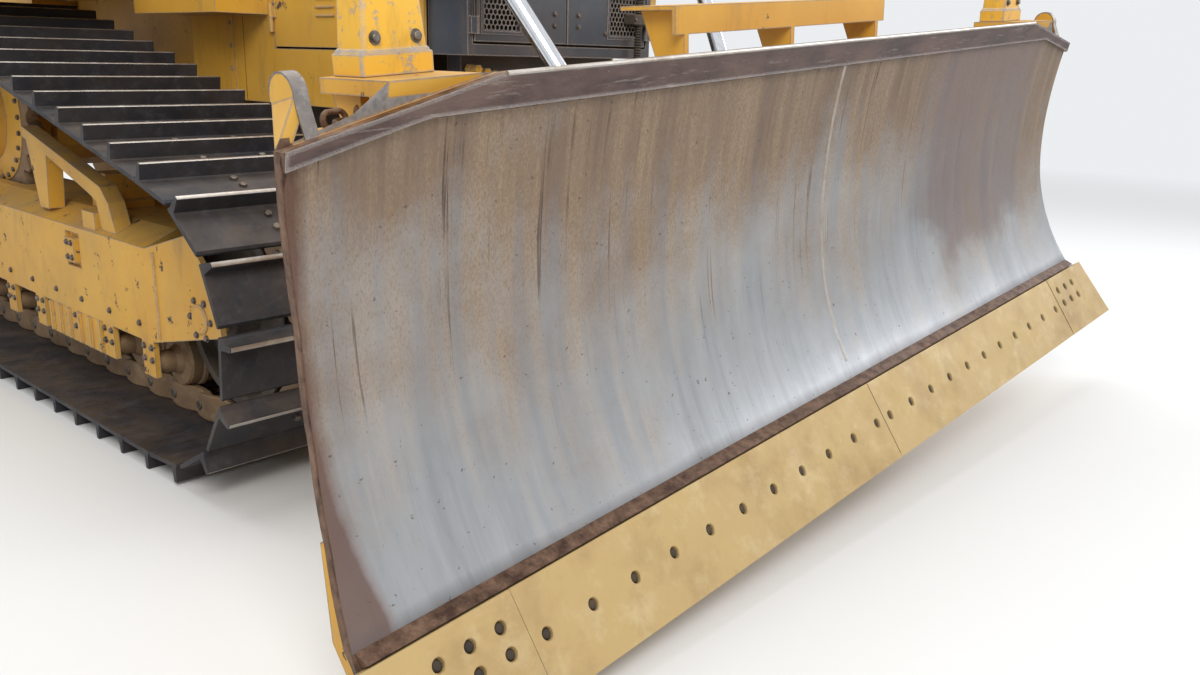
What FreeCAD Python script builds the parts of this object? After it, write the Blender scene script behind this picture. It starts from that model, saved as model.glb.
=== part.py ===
import FreeCAD, Part
import math
import os

os.makedirs("parts", exist_ok=True)

# Crawler bulldozer with a raised sprocket and a blade that lifts, angles and tilts.
# Millimetres. +X is the machine's left, -Y is forward, +Z is up, the floor is Z = 0.

# The layout's origin is midway between the idlers' wheels and the blade; the part's is
# the centre of its outline
centre_shift = 138.0

# Clearances
seat = 0.3              # faces of two bodies that lie on each other
running = 0.05          # radial play of a pin in its bore
few_sides = 8           # of the round things that repeat
some_sides = 12
many_sides = 16
swing_gap = 8.0         # side play of a rod eye between its ears
panel_gap = 8.0         # gap round a door
knuckle = 60.0          # length of a hinge knuckle

# Tracks
track_gauge = 2316.0
shoe_width = 820.0
shoe_count = 46
shoe_phase = 0.65       # share of a pitch from the first idler's top to the first pin
shoe_plate = 16.0
grouser_height = 55.0
pin_to_shoe = 52.0      # pin line to the inner face of a shoe
pin_to_rail = 50.0      # pin line to the face that the rollers run on
pin_radius = 410.0      # pin line round the idlers and the sprocket
rail_offset = 95.0      # centre of a link rail from the track's centre
rail_width = 38.0
front_idler_y = -1222.0
idler_span = 3275.0
sprocket_back = 2350.0
sprocket_rise = 557.0
sprocket_teeth = 25
sprocket_width = 60.0
hub_radius = 205.0
hub_reach = 150.0       # half the length of the sprocket's hub
final_drive_radius = 262.0

# Track frame, X measured from the track's centre
frame_half_width = 235.0
frame_bottom = 392.0
frame_top = 780.0
frame_shoulder = 725.0  # outer edge of the sloping top
side_bottom = 368.0
guard_plate = 20.0
roller_count = 8
roller_radius = 105.0
roller_end = 430.0      # first and last roller from the idlers' axles
saddle_y = -150.0
bar_height = 110.0
bar_z = 870.0
bar_depth = 120.0

# Main frame and body
case_half = 420.0
belly_z = 470.0
rail_top = 935.0
case_front = 300.0
case_back = 1980.0
case_top = 1500.0
frame_front = -1400.0
trunnion_y = 145.0
trunnion_z = 500.0
trunnion_radius = 50.0
pivot_shaft_y = 640.0
pivot_shaft_z = 520.0
pivot_shaft_radius = 75.0
engine_half = 330.0
engine_front = -1050.0
engine_back = 240.0
engine_top = 1860.0

guard_front = -1590.0
guard_back = -1370.0
guard_half = 506.0
guard_waist = 1425.0    # below this the guard is as narrow as the frame
waist_front = -1450.0
guard_top = 2150.0
guard_post = 24.0
hood_half = 525.0
hood_side_top = 2090.0
hood_top = 2180.0
hood_back = 400.0
hood_sheet = 12.0
side_sill = 1440.0      # lower edge of the engine doors
side_head = 1985.0      # upper edge of the engine doors
cheek_front = -336.0    # fixed sheet behind the engine doors
cheek_bottom = 1200.0

platform_bottom = 1668.0
platform_height = 95.0
platform_front = 430.0
platform_back = 2022.0
platform_half = 1500.0
step_front = -300.0
step_half = 770.0
step_bottom = 1572.0

cab_front = 520.0
cab_back = 2010.0
cab_half = 800.0
cab_floor = 1763.0
cab_roof_bottom = 3060.0
cab_roof_top = 3180.0
cab_wall = 40.0
cab_post = 110.0
cab_waist = 2230.0      # sill of the side and rear windows
door_front = 640.0
door_back = 1560.0
door_sheet = 36.0

tank_front = 2030.0
tank_back = 2560.0
tank_half = 640.0
tank_bottom = 1180.0
tank_top = 2050.0
drawbar_back = 2860.0
drawbar_bore = 28.0

# C-frame, yoke and cylinders
pivot_y = -2490.0       # upright pin at the nose
pivot_z = 510.0
nose_bottom = 370.0
nose_top = 650.0
nose_plate = 50.0
arm_inner = 450.0
arm_outer = 550.0
arm_bottom = 405.0
arm_top = 605.0
pivot_radius = 60.0
tilt_pin_radius = 70.0
tilt_boss_radius = 130.0
yoke_front = 150.0      # ahead of the upright pin
eye_x = 560.0
eye_back = 45.0
angle_base_x = 640.0
angle_base_y = -1385.0
angle_bore = 52.0
angle_rod = 28.0
angle_eye_half = 58.0
lift_top = (625.0, -1691.0, 1885.0)
lift_eye = (290.0, -2428.0, 760.0)
lift_bore = 62.0
lift_rod = 32.0
tilt_bore = 45.0
tilt_rod = 25.0
tower_x = 60.0
tower_z = 905.0
tilt_lug_x = -780.0
tilt_lug_z = 935.0
nose_radius = 105.0
crotch_y = -1685.0      # where the arms start to close in to the nose
trunnion_stub = 26.0    # radius of the stubs that a barrel turns on
lift_up = 20.0          # degrees of the C-frame above its parked place
lift_down = -8.5
lift_eye_half = 34.0
lift_side_gap = 22.0    # between a lift rod's eye and its lug
lift_axis_turn = -7.5454    # degrees about the rod, which halves the rod eye's drift
tower_thickness = 32.0

# Blade, its section measured from the line of the edge bolts: Y back, Z up
blade_y = -3060.0
blade_z = 300.0
blade_tilt = 4.2        # degrees, machine-left end up, as it parks
blade_half_bottom = 2008.0
blade_half_top = 1900.0
edge_lean = 33.0        # degrees back from upright
edge_height = 265.0
edge_thickness = 37.0
edge_drop = 136.0       # bolt line down to the cutting tip, along the edge
edge_to_arc = 10.0      # edge top to where the face starts to curve
edge_length = 1615.0    # each of the two sections
end_bit_length = 415.0
end_bit_toe = 55.0      # how much longer the end bit is at its tip
board_plate = 20.0
lower_arc = 1000.0
upper_arc = 2000.0
board_top = 1290.0
strip_bottom = 1180.0
strip_thickness = 34.0
corner_in = 1540.0
corner_drop = 165.0
lower_beam_back = 262.0
upper_beam_back = 400.0
mast_x = 1600.0
mast_back = 380.0
mast_base = 1205.0
beam_low = 960.0        # upper beam, heights over the bolt line
beam_high = 1110.0
ear_x = 1883.0
mast_bore = 45.0


def vec(x, y, z):
    return FreeCAD.Vector(x, y, z)


def box(x, y, z):
    """A block from its (low, high) pairs."""
    return Part.makeBox(x[1] - x[0], y[1] - y[0], z[1] - z[0], vec(x[0], y[0], z[0]))


def rod(start, axis, radius, length):
    return Part.makeCylinder(radius, length, vec(*start), vec(*axis))


def prism(start, axis, radius, length, sides=some_sides, hole=False):
    """A round bar with flat sides: its corners lie on the radius, a hole's flats do."""
    line = vec(*axis)
    line.normalize()
    helper = vec(0, 0, 1) if abs(line.z) < 0.9 else vec(1, 0, 0)
    u = helper.cross(line)
    u.normalize()
    v = line.cross(u)
    if hole:
        radius /= math.cos(math.pi / sides)
    corners = []
    for i in range(sides):
        angle = (i + 0.5) * 2 * math.pi / sides
        corners.append(vec(*start) + (u * math.cos(angle) + v * math.sin(angle)) * radius)
    return Part.Face(Part.makePolygon(corners + corners[:1])).extrude(line * length)


def plate(points, lift, thickness):
    """A flat outline of 3-D points, made thick along the vector lift."""
    wire = Part.makePolygon([vec(*p) for p in points] + [vec(*points[0])])
    direction = vec(*lift)
    direction.normalize()
    return Part.Face(wire).extrude(direction * thickness)


def along_x(outline, x0, x1):
    """An outline of (y, z) points, from x0 to x1."""
    return plate([(x0, y, z) for y, z in outline], (1, 0, 0), x1 - x0)


def along_y(outline, y0, y1):
    """An outline of (x, z) points, from y0 to y1."""
    return plate([(x, y0, z) for x, z in outline], (0, 1, 0), y1 - y0)


def along_z(outline, z0, z1):
    """An outline of (x, y) points, from z0 to z1."""
    return plate([(x, y, z0) for x, y in outline], (0, 0, 1), z1 - z0)


def frustum(centre, low, z0, high, z1):
    """A block whose half sizes change from low to high between two heights."""
    def ring(half, z):
        return [vec(centre[0] + sx * half[0], centre[1] + sy * half[1], z)
                for sx, sy in ((-1, -1), (1, -1), (1, 1), (-1, 1))]

    a = ring(low, z0)
    b = ring(high, z1)
    outlines = [a, b] + [[a[i - 1], a[i], b[i], b[i - 1]] for i in range(4)]
    faces = [Part.Face(Part.makePolygon(corners + corners[:1])) for corners in outlines]
    return Part.makeSolid(Part.makeShell(faces))


def mirror(shape):
    return shape.mirror(vec(0, 0, 0), vec(1, 0, 0))


def joined(shapes):
    whole = shapes[0].fuse(shapes[1:]) if len(shapes) > 1 else shapes[0]
    return whole.removeSplitter()


def both(shape):
    """The shape and its mirror image, as separate solids."""
    return Part.makeCompound([shape, mirror(shape)])


def save(name, shape):
    shape = shape.copy()
    shape.translate(vec(0, centre_shift, 0))
    shape.exportStep("parts/" + name + ".step")


def save_sides(name, left):
    save(name + "_left", left)
    save(name + "_right", mirror(left))


# Upright hinge lines of the left doors: (x, y), and the heights of the knuckles
grille_hinge = (guard_half - guard_post - panel_gap - 8, guard_front - 10)
grille_heights = (1560.0, 1940.0)
engine_hinge = (hood_half + 12, cheek_front - 4)
engine_heights = (1560.0, 1880.0)
cab_hinge = (cab_half + 14, door_back - panel_gap / 2)
cab_heights = (2000.0, 2400.0, 2800.0)


def knuckles(line, radius, heights, on_door, x, y):
    """Hinge knuckles, each with a block to its sheet; the fixed ones lie below.

    Only a door's first knuckle is truly round, to save facets."""
    found = []
    for height in heights:
        z = height if on_door else height - knuckle - seat
        if on_door and height == heights[0]:
            found.append(rod((line[0], line[1], z), (0, 0, 1), radius, knuckle))
        else:
            found.append(prism((line[0], line[1], z), (0, 0, 1), radius, knuckle, few_sides))
        found.append(box(x, y, (z, z + knuckle)))
    return found


# Track layout
stack = pin_to_shoe + shoe_plate + grouser_height
track_x = track_gauge / 2
idler_z = pin_radius + stack
rear_idler_y = front_idler_y + idler_span
sprocket_y = front_idler_y + sprocket_back
sprocket_z = idler_z + sprocket_rise
wheel_centres = [(front_idler_y, idler_z), (sprocket_y, sprocket_z), (rear_idler_y, idler_z)]


def track_path():
    """The pin line as straight runs and arcs, backward along the top."""
    pieces = []
    turns = []
    for i, a in enumerate(wheel_centres):
        b = wheel_centres[(i + 1) % 3]
        run = math.hypot(b[0] - a[0], b[1] - a[1])
        turns.append((math.atan2(b[1] - a[1], b[0] - a[0]), run))
    for i, a in enumerate(wheel_centres):
        heading, run = turns[i]
        after = turns[(i + 1) % 3][0]
        bend = (heading - after) % (2 * math.pi)
        pieces.append(("run", a, heading, run))
        pieces.append(("arc", wheel_centres[(i + 1) % 3], heading, bend * pin_radius))
    return pieces


def point_on(pieces, distance):
    """The (y, z) point of the pin line at a distance along it."""
    for kind, centre, heading, length in pieces:
        if distance <= length:
            break
        distance -= length
    if kind == "arc":
        heading -= distance / pin_radius
        distance = 0.0
    along = (math.cos(heading), math.sin(heading))
    return (centre[0] - along[1] * pin_radius + along[0] * distance,
            centre[1] + along[0] * pin_radius + along[1] * distance)


pin_line = track_path()
pitch = sum(piece[3] for piece in pin_line) / shoe_count


def track_band(pins, outer, inner, x0, x1):
    """A closed band: each shoe repeats the (share of pitch, height) outlines."""
    outlines = []
    for profile in (outer, inner):
        outline = []
        for i, a in enumerate(pins):
            b = pins[(i + 1) % len(pins)]
            along = (b[0] - a[0], b[1] - a[1])
            chord = math.hypot(*along)
            up = (-along[1] / chord, along[0] / chord)
            outline += [(a[0] + along[0] * share + up[0] * height,
                         a[1] + along[1] * share + up[1] * height)
                        for share, height in profile]
        outlines.append(outline)
    return along_x(outlines[0], x0, x1).cut(along_x(outlines[1], x0, x1))


def track():
    """One shoe loop with a grouser on each shoe, and the two link rails inside it."""
    pins = [point_on(pin_line, (i + shoe_phase) * pitch) for i in range(shoe_count)]
    skin = pin_to_shoe + shoe_plate
    # share of the pitch, height over the pin line
    shoe = [(0.78, skin), (0.82, stack), (0.91, stack), (0.98, skin)]
    shoe_inside = [(0.5, pin_to_shoe)]
    link = [(0.5, -pin_to_rail)]
    link_outside = [(0.5, pin_to_shoe + 3)]
    half = shoe_width / 2
    loops = [track_band(pins, shoe, shoe_inside, track_x - half, track_x + half)]
    for side in (-1, 1):
        x0 = track_x + side * rail_offset - rail_width / 2
        loops.append(track_band(pins, link_outside, link, x0, x0 + rail_width))
    return joined(loops)


def wheel(y, z, profile, sides):
    """A flat-sided wheel: profile of (radius, half width) steps on the track's centre."""
    discs = [prism((track_x - half, y, z), (1, 0, 0), radius, 2 * half, sides)
             for radius, half in profile]
    return joined(discs)


def idlers():
    between = rail_offset - rail_width / 2 - 3
    tread = rail_offset + rail_width / 2
    # The rails' corners, at the middle of each chord, lie on chords too
    half_turn = math.asin(pitch / 2 / pin_radius)
    corner = pin_radius * math.cos(half_turn) - pin_to_rail
    tread_radius = corner * math.cos(half_turn) - seat
    profile = [(tread_radius, tread), (tread_radius + 24, between), (90, tread + 40)]
    return [wheel(y, idler_z, profile, some_sides) for y in (front_idler_y, rear_idler_y)]


def roller_z():
    return stack + pin_to_rail + roller_radius + seat


def roller_ys():
    spacing = (idler_span - 2 * roller_end) / (roller_count - 1)
    return [front_idler_y + roller_end + i * spacing for i in range(roller_count)]


def rollers():
    tread = rail_offset + rail_width / 2
    profile = [(roller_radius, tread), (45, frame_half_width - guard_plate - seat)]
    return [wheel(y, roller_z(), profile, few_sides) for y in roller_ys()]


def sprocket():
    """The toothed ring on its hub, seated on the final drive."""
    root = pin_radius - 40
    tip = pin_radius + 8
    step = 2 * math.pi / sprocket_teeth
    outline = []
    for i in range(sprocket_teeth):
        # share of a tooth, radius
        for share, radius in ((-0.28, root), (-0.12, tip), (0.12, tip), (0.28, root)):
            angle = (i + share) * step
            outline.append((sprocket_y + radius * math.cos(angle),
                            sprocket_z + radius * math.sin(angle)))
    half = sprocket_width / 2
    ring = along_x(outline, track_x - half, track_x + half)
    start = track_x - hub_reach
    hub = prism((start, sprocket_y, sprocket_z), (1, 0, 0), hub_radius, 2 * hub_reach)
    cap = prism((track_x + hub_reach, sprocket_y, sprocket_z), (1, 0, 0),
                hub_radius * 0.6, 40)
    return joined([ring, hub, cap])


def track_frame():
    """Box beam with side guards, idler forks and the pads that it is hung from."""
    x = track_x
    w = frame_half_width
    front = front_idler_y + 390
    back = rear_idler_y - 390
    # (x from the track's centre, z): the outer shoulder slopes down
    section = [(-w, frame_bottom), (-w, frame_top - 60), (-w + 50, frame_top),
               (w - 130, frame_top), (w, frame_shoulder), (w, frame_bottom)]
    beam = along_y([(x + u, z) for u, z in section], front, back)
    # (y, z): cheeks that carry on to the idlers' axles, wedge-shaped at the front
    nose = front_idler_y - 140
    tail = rear_idler_y + 140
    side = [(nose, idler_z - 40), (front + 10, side_bottom), (back - 10, side_bottom),
            (tail, idler_z - 40), (tail, idler_z + 70), (tail - 170, frame_shoulder),
            (front, frame_shoulder), (front_idler_y + 60, frame_top + 36),
            (nose + 30, frame_shoulder - 60)]
    outer = along_x(side, x + w - guard_plate, x + w)
    inner = along_x(side, x - w, x - w + guard_plate)
    saddle = box((x - 90, x + 90), (saddle_y - 90, saddle_y + 90),
                 (frame_top - 40, bar_z - bar_height / 2))
    hub_half = rail_offset + rail_width / 2 + 40 + seat
    parts = [beam, outer, inner, saddle]
    for y in (front_idler_y, rear_idler_y):
        parts.append(prism((x - w, y, idler_z), (1, 0, 0), 60, w - hub_half, few_sides))
        parts.append(prism((x + hub_half, y, idler_z), (1, 0, 0), 60, w - hub_half,
                           few_sides))
    # hangers at the rollers' ends
    for y in roller_ys():
        for x0 in (x - w, x + w - guard_plate):
            parts.append(box((x0, x0 + guard_plate), (y - 48, y + 48),
                             (roller_z() - 45, frame_bottom + 10)))
    # ribbed roller guard, below the middle of the frame
    guard = box((x + w - guard_plate, x + w - 2), (-390, 120), (232, side_bottom + 10))
    parts.append(guard)
    for y in (-390, -290, -190, -90, 10, 100):
        parts.append(box((x + w - guard_plate, x + w + 10), (y, y + 20), (240, side_bottom)))
    # slanted strut on the outer shoulder, with daylight under it
    strut = [(-560, frame_shoulder - 10), (-430, frame_shoulder - 10), (-395, 845), (-330, 870),
             (60, 985), (90, frame_top - 20), (180, frame_top - 20), (260, 1035), (300, 1045),
             (300, 1090), (-440, 905), (-500, 850)]
    parts.append(along_x(strut, x + w - 90, x + w - 25))
    # clamp on the shoulder and the stop block in its recess
    parts.append(box((x + w - 110, x + w - 12), (-395, -280), (frame_shoulder - 10, 800)))
    whole = joined(parts)
    recess = box((x + w - 16, x + w + 1), (-250, -120), (560, 700))
    block = box((x + w - 20, x + w + 14), (-225, -145), (580, 680))
    slot = box((x - 50, x + 50), (sprocket_y - 330, sprocket_y + 330), (645, frame_top + 1))
    return joined([whole.cut(recess).cut(slot), block])


def main_frame():
    """Front rails, belly plate, rear case, final drives, pivot shaft and trunnions."""
    web = 110.0
    left_rail = box((case_half - web, case_half), (frame_front, case_front + 10),
                    (belly_z, rail_top))
    belly = box((-case_half, case_half), (frame_front, case_front + 10),
                (belly_z, belly_z + 40))
    nose = box((-case_half, case_half), (frame_front, frame_front + 80), (belly_z, 700))
    # (y, z) outline of the rear case
    case = along_x([(case_front, belly_z), (case_back - 260, belly_z),
                    (case_back, belly_z + 260), (case_back, case_top),
                    (case_front, case_top)], -case_half, case_half)
    drive_end = track_x - hub_reach - seat
    drive = prism((-drive_end, sprocket_y, sprocket_z), (1, 0, 0), final_drive_radius,
                  2 * drive_end, many_sides)
    shaft_end = track_x - frame_half_width - seat
    shaft = prism((-shaft_end, pivot_shaft_y, pivot_shaft_z), (1, 0, 0),
                  pivot_shaft_radius, 2 * shaft_end)
    pins = [prism((-arm_outer - 45, trunnion_y, trunnion_z), (1, 0, 0), trunnion_radius,
                  2 * (arm_outer + 45), many_sides)]
    caps = [prism((side * (arm_outer + 5 + 20) - 20, trunnion_y, trunnion_z), (1, 0, 0),
                  trunnion_radius + 30, 40) for side in (-1, 1)]
    tower = box((-case_half, case_half), (cab_front + 60, cab_back - 60),
                (case_top - 10, platform_bottom + platform_height - seat))
    rest = box((-110, 110), (saddle_y - 100, saddle_y + 100),
               (belly_z + 10, bar_z - bar_height / 2))
    notch = box((-case_half - 1, case_half + 1),
                (saddle_y - bar_depth / 2 - 15, saddle_y + bar_depth / 2 + 15),
                (bar_z - bar_height / 2, rail_top + 1))
    rails = joined([left_rail, mirror(left_rail)]).cut(notch)
    return joined([rails, belly, nose, case, drive, shaft, tower, rest] + pins + caps)


def engine_block():
    return box((-engine_half, engine_half), (engine_front, engine_back),
               (rail_top + seat, engine_top))


def radiator_guard():
    """Deep front frame: posts, head and sill round the radiator core."""
    waist = box((-case_half, case_half), (waist_front, guard_back),
                (rail_top + seat, guard_waist + 1))
    upper = box((-guard_half, guard_half), (guard_front, guard_back),
                (guard_waist, guard_top))
    # the doors stand in a recess in front of the core
    recess = box((-guard_half + guard_post, guard_half - guard_post),
                 (guard_front - 1, guard_front + 70), (guard_waist + 40, guard_top - 60))
    left = knuckles(grille_hinge, 8, grille_heights, False,
                    (grille_hinge[0], guard_half - 6), (guard_front - 14, guard_front - 6))
    left += [box((guard_half - 20, guard_half - 6), (guard_front - 14, guard_front + 5),
                 (z - knuckle - seat, z - seat)) for z in grille_heights]
    return joined([joined([waist, upper]).cut(recess)] + left + [mirror(s) for s in left])


def grille_door():
    """Left front door: sheet frame with the window that its mesh fills."""
    x0 = panel_gap / 2
    x1 = guard_half - guard_post - panel_gap
    z0 = guard_waist + 40 + panel_gap
    z1 = guard_top - 60 - panel_gap
    y0 = guard_front
    y1 = guard_front + 22
    sheet = box((x0, x1), (y0, y1), (z0, z1))
    window = box((x1 - 225, x1 - 45), (y0, y1), (z0 + 40, z1 - 40))
    mesh = box((x1 - 230, x1 - 40), (y0 + 9, y0 + 12), (z0 + 35, z1 - 35))
    x = grille_hinge[0]
    hinge = knuckles(grille_hinge, 8, grille_heights, True, (x - 6, x + 6), (y0 - 10, y0 + 5))
    return joined([sheet.cut(window), mesh] + hinge)


def hood():
    """Bent top sheet with its bevels, and the fixed cheeks below the doors."""
    outer = [(-hood_half, side_head + panel_gap), (-hood_half, hood_side_top),
             (-hood_half + 95, hood_top), (hood_half - 95, hood_top),
             (hood_half, hood_side_top), (hood_half, side_head + panel_gap)]
    t = hood_sheet
    inner = [(-hood_half + t, side_head - 1), (-hood_half + t, hood_side_top - 5),
             (-hood_half + 100, hood_top - t), (hood_half - 100, hood_top - t),
             (hood_half - t, hood_side_top - 5), (hood_half - t, side_head - 1)]
    y0 = guard_back + seat
    top = along_y(outer, y0, hood_back).cut(along_y(inner, y0 - 1, hood_back + 1))
    pieces = [top]
    for side in (-1, 1):
        x = sorted((side * hood_half, side * (hood_half - t)))
        pieces.append(box(x, (y0, hood_back), (cheek_bottom, side_sill - panel_gap)))
        pieces.append(box(x, (y0, y0 + 50), (cheek_bottom, hood_side_top - 20)))
        pieces.append(box(x, (cheek_front, hood_back), (cheek_bottom, hood_side_top - 20)))
    firewall = box((-hood_half, hood_half), (hood_back - t, hood_back),
                   (case_top + 170 + seat, hood_side_top - 20))
    left = knuckles(engine_hinge, 9, engine_heights, False,
                    (hood_half - 5, engine_hinge[0]), (engine_hinge[1], engine_hinge[1] + 24))
    return joined(pieces + [firewall] + left + [mirror(s) for s in left])


def engine_door():
    """Left engine door, hinged at its rear edge."""
    y0 = guard_back + 50 + panel_gap
    y1 = cheek_front - panel_gap
    sheet = box((hood_half - hood_sheet, hood_half), (y0, y1),
                (side_sill, side_head))
    hinge = knuckles(engine_hinge, 9, engine_heights, True,
                     (hood_half - 5, engine_hinge[0]), (engine_hinge[1] - 24, engine_hinge[1]))
    return joined([sheet] + hinge)


def fender():
    """Left platform beside the cab, with its front edge folded down."""
    y = (platform_front, platform_back)
    deck = box((case_half + seat, platform_half), y,
               (platform_bottom, platform_bottom + platform_height))
    hollow = box((case_half + 60, platform_half - 12), (y[0] + 12, y[1] - 12),
                 (platform_bottom - 1, platform_bottom + platform_height - 10))
    # step along the hood's side, a folded sheet
    step = box((hood_half + seat, step_half), (step_front, platform_front + 20),
               (step_bottom, platform_bottom + 30))
    under = box((hood_half + 12, step_half - 12), (step_front + 12, platform_front + 21),
                (step_bottom - 1, platform_bottom + 20))
    return joined([deck.cut(hollow), step.cut(under)])


def cab_shell():
    """Hollow cab body: floor, posts, walls and the cut windows and doorways."""
    outer = box((-cab_half, cab_half), (cab_front, cab_back), (cab_floor, cab_roof_bottom))
    room = box((-cab_half + cab_wall, cab_half - cab_wall),
               (cab_front + cab_wall, cab_back - cab_wall),
               (cab_floor + 40, cab_roof_bottom + 1))
    shell = outer.cut(room)
    head = cab_roof_bottom - 90
    cuts = [box((-cab_half - 1, cab_half + 1), (door_front, door_back),
                (cab_floor + 60, head)),
            box((-cab_half - 1, cab_half + 1), (door_back + 80, cab_back - cab_post),
                (cab_waist, head)),
            box((-cab_half + cab_post, cab_half - cab_post),
                (cab_front - 1, cab_front + cab_wall + 1), (cab_waist - 250, head)),
            box((-cab_half + cab_post, cab_half - cab_post),
                (cab_back - cab_wall - 1, cab_back + 1), (cab_waist, head))]
    for cut in cuts:
        shell = shell.cut(cut)
    left = knuckles(cab_hinge, 10, cab_heights, False,
                    (cab_half - 5, cab_hinge[0]), (cab_hinge[1], cab_hinge[1] + 30))
    return joined([shell] + left + [mirror(s) for s in left])


def cab_roof():
    """Roof cap with a sloping rim."""
    half = (cab_half + 30, (cab_back - cab_front) / 2 + 60)
    centre = (0, (cab_front + cab_back) / 2)
    rim = 70
    z0 = cab_roof_bottom + seat
    z1 = z0 + 55
    lower = frustum(centre, half, z0, half, z1)
    upper = frustum(centre, half, z1, (half[0] - rim, half[1] - rim), cab_roof_top)
    return joined([lower, upper])


def cab_glass():
    """Panes set in the middle of the fixed windows."""
    head = cab_roof_bottom - 90
    pane = 8.0
    mid = cab_wall / 2
    x = (-cab_half + cab_post + seat, cab_half - cab_post - seat)
    front = box(x, (cab_front + mid, cab_front + mid + pane),
                (cab_waist - 250 + seat, head - seat))
    rear = box(x, (cab_back - mid - pane, cab_back - mid), (cab_waist + seat, head - seat))
    side = box((cab_half - mid - pane, cab_half - mid),
               (door_back + 80 + seat, cab_back - cab_post - seat),
               (cab_waist + seat, head - seat))
    return [front, rear, side, mirror(side)]


def cab_door():
    """Left door: frame and its glazing bar, hinged at the rear edge."""
    g = panel_gap
    head = cab_roof_bottom - 90
    x = (cab_half - cab_wall, cab_half - cab_wall + door_sheet)
    leaf = box(x, (door_front + g, door_back - g), (cab_floor + 60 + g, head - g))
    rim = 80
    upper = box((x[0] - 1, x[1] + 1), (door_front + g + rim, door_back - g - rim),
                (cab_waist + 40, head - g - rim))
    lower = box((x[0] - 1, x[1] + 1), (door_front + g + rim, door_back - g - rim),
                (cab_floor + 60 + g + rim, cab_waist - 60))
    pane = 6.0
    mid = x[0] + 14
    glass = box((mid, mid + pane), (door_front + g + rim - 5, door_back - g - rim + 5),
                (cab_floor + 60 + g + rim - 5, head - g - rim + 5))
    hinge = knuckles(cab_hinge, 10, cab_heights, True,
                     (x[1] - 5, cab_hinge[0]), (cab_hinge[1] - 30, cab_hinge[1]))
    return joined([leaf.cut(upper).cut(lower), glass] + hinge)


def operator_seat():
    """Seat on its box: cushion, back and arm rests."""
    y = 1180.0
    z = cab_floor + 40 + seat
    pedestal = box((-190, 190), (y - 200, y + 200), (z, z + 260))
    cushion = box((-255, 255), (y - 270, y + 230), (z + 260, z + 380))
    back = plate([(-240, y + 170, z + 380), (-240, y + 300, z + 380),
                  (-240, y + 420, z + 980), (-240, y + 320, z + 980)], (1, 0, 0), 480)
    arms = [box((side * 300 - 40, side * 300 + 40), (y - 200, y + 200), (z + 440, z + 500))
            for side in (-1, 1)]
    posts = [box((side * 285 - 25, side * 285 + 25), (y + 100, y + 180), (z + 300, z + 460))
             for side in (-1, 1)]
    links = [box((-300, 300), (y + 110, y + 170), (z + 300, z + 360))]
    return joined([pedestal, cushion, back] + arms + posts + links)


def console():
    """Instrument stand in front of the seat and the side consoles with levers."""
    z = cab_floor + 40 + seat
    stand = along_x([(cab_front + 60, z), (cab_front + 170, z), (cab_front + 250, z + 620),
                     (cab_front + 90, z + 700)], -170, 170)
    side = box((400, 560), (880, 1420), (z, z + 520))
    lever = prism((470, 960, z + 510), (0, -0.2, 1), 14, 200, few_sides)
    left = joined([side, lever])
    return [stand, left, mirror(left)]


def exhaust_stack():
    """Bent pipe on the hood with its guard tube."""
    x = -240.0
    y = -420.0
    base = prism((x, y, hood_top + seat), (0, 0, 1), 90, 40)
    guard = prism((x, y, hood_top + 30), (0, 0, 1), 78, 420)
    pipe = prism((x, y, hood_top + 430), (0, 0, 1), 52, 250)
    bore = prism((x, y, hood_top + 500), (0, 0, 1), 42, 200, hole=True)
    return joined([base, guard, pipe]).cut(bore)


def precleaner():
    """Air intake: stem and bowl."""
    x = 240.0
    y = -420.0
    stem = prism((x, y, hood_top + seat), (0, 0, 1), 70, 320)
    bowl = prism((x, y, hood_top + 300), (0, 0, 1), 125, 150, many_sides)
    lid = prism((x, y, hood_top + 450), (0, 0, 1), 60, 50)
    return joined([stem, bowl, lid])


def lamps():
    """Work lamps: two on the hood's rear corners, two front and two rear on the roof."""
    # x, y, z of the back face, direction in Y
    table = [(620, cab_front - 60, cab_roof_bottom + 30, -1),
             (620, cab_back + 60, cab_roof_bottom + 30, 1),
             (430, guard_front, guard_top - 28, -1)]
    found = []
    for x, y, z, way in table:
        y0 = y + way * seat
        case = box((x - 75, x + 75), sorted((y0, y0 + way * 60)), (z - 24, z + 24))
        found.append(case)
        found.append(mirror(case))
    return found


def fuel_tank():
    """Rear tank with sloping upper back edge."""
    outline = [(tank_front, tank_bottom), (tank_back - 90, tank_bottom),
               (tank_back, tank_bottom + 110), (tank_back, tank_top - 260),
               (tank_back - 170, tank_top), (tank_front, tank_top)]
    tank = along_x(outline, -tank_half, tank_half)
    cap = prism((tank_half - 180, tank_front + 160, tank_top), (0, 0, 1), 60, 45)
    return joined([tank, cap])


def drawbar():
    """Towing jaw on the back of the case, with its upright pin bore."""
    z0 = belly_z + 270
    back_plate = box((-260, 260), (case_back + seat, case_back + 50), (z0, z0 + 420))
    jaws = [box((-110, 110), (case_back + 40, drawbar_back), (z, z + 55))
            for z in (z0 + 90, z0 + 235)]
    web = box((-110, 110), (case_back + 40, drawbar_back - 260), (z0 + 100, z0 + 280))
    bore = rod((0, drawbar_back - 110, z0), (0, 0, 1), drawbar_bore, 500)
    tank_foot = box((-230, 230), (case_back + seat, tank_back - 260),
                    (z0 + 420 - 10, tank_bottom - seat))
    return joined([back_plate, web, tank_foot] + jaws).cut(bore)


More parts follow.
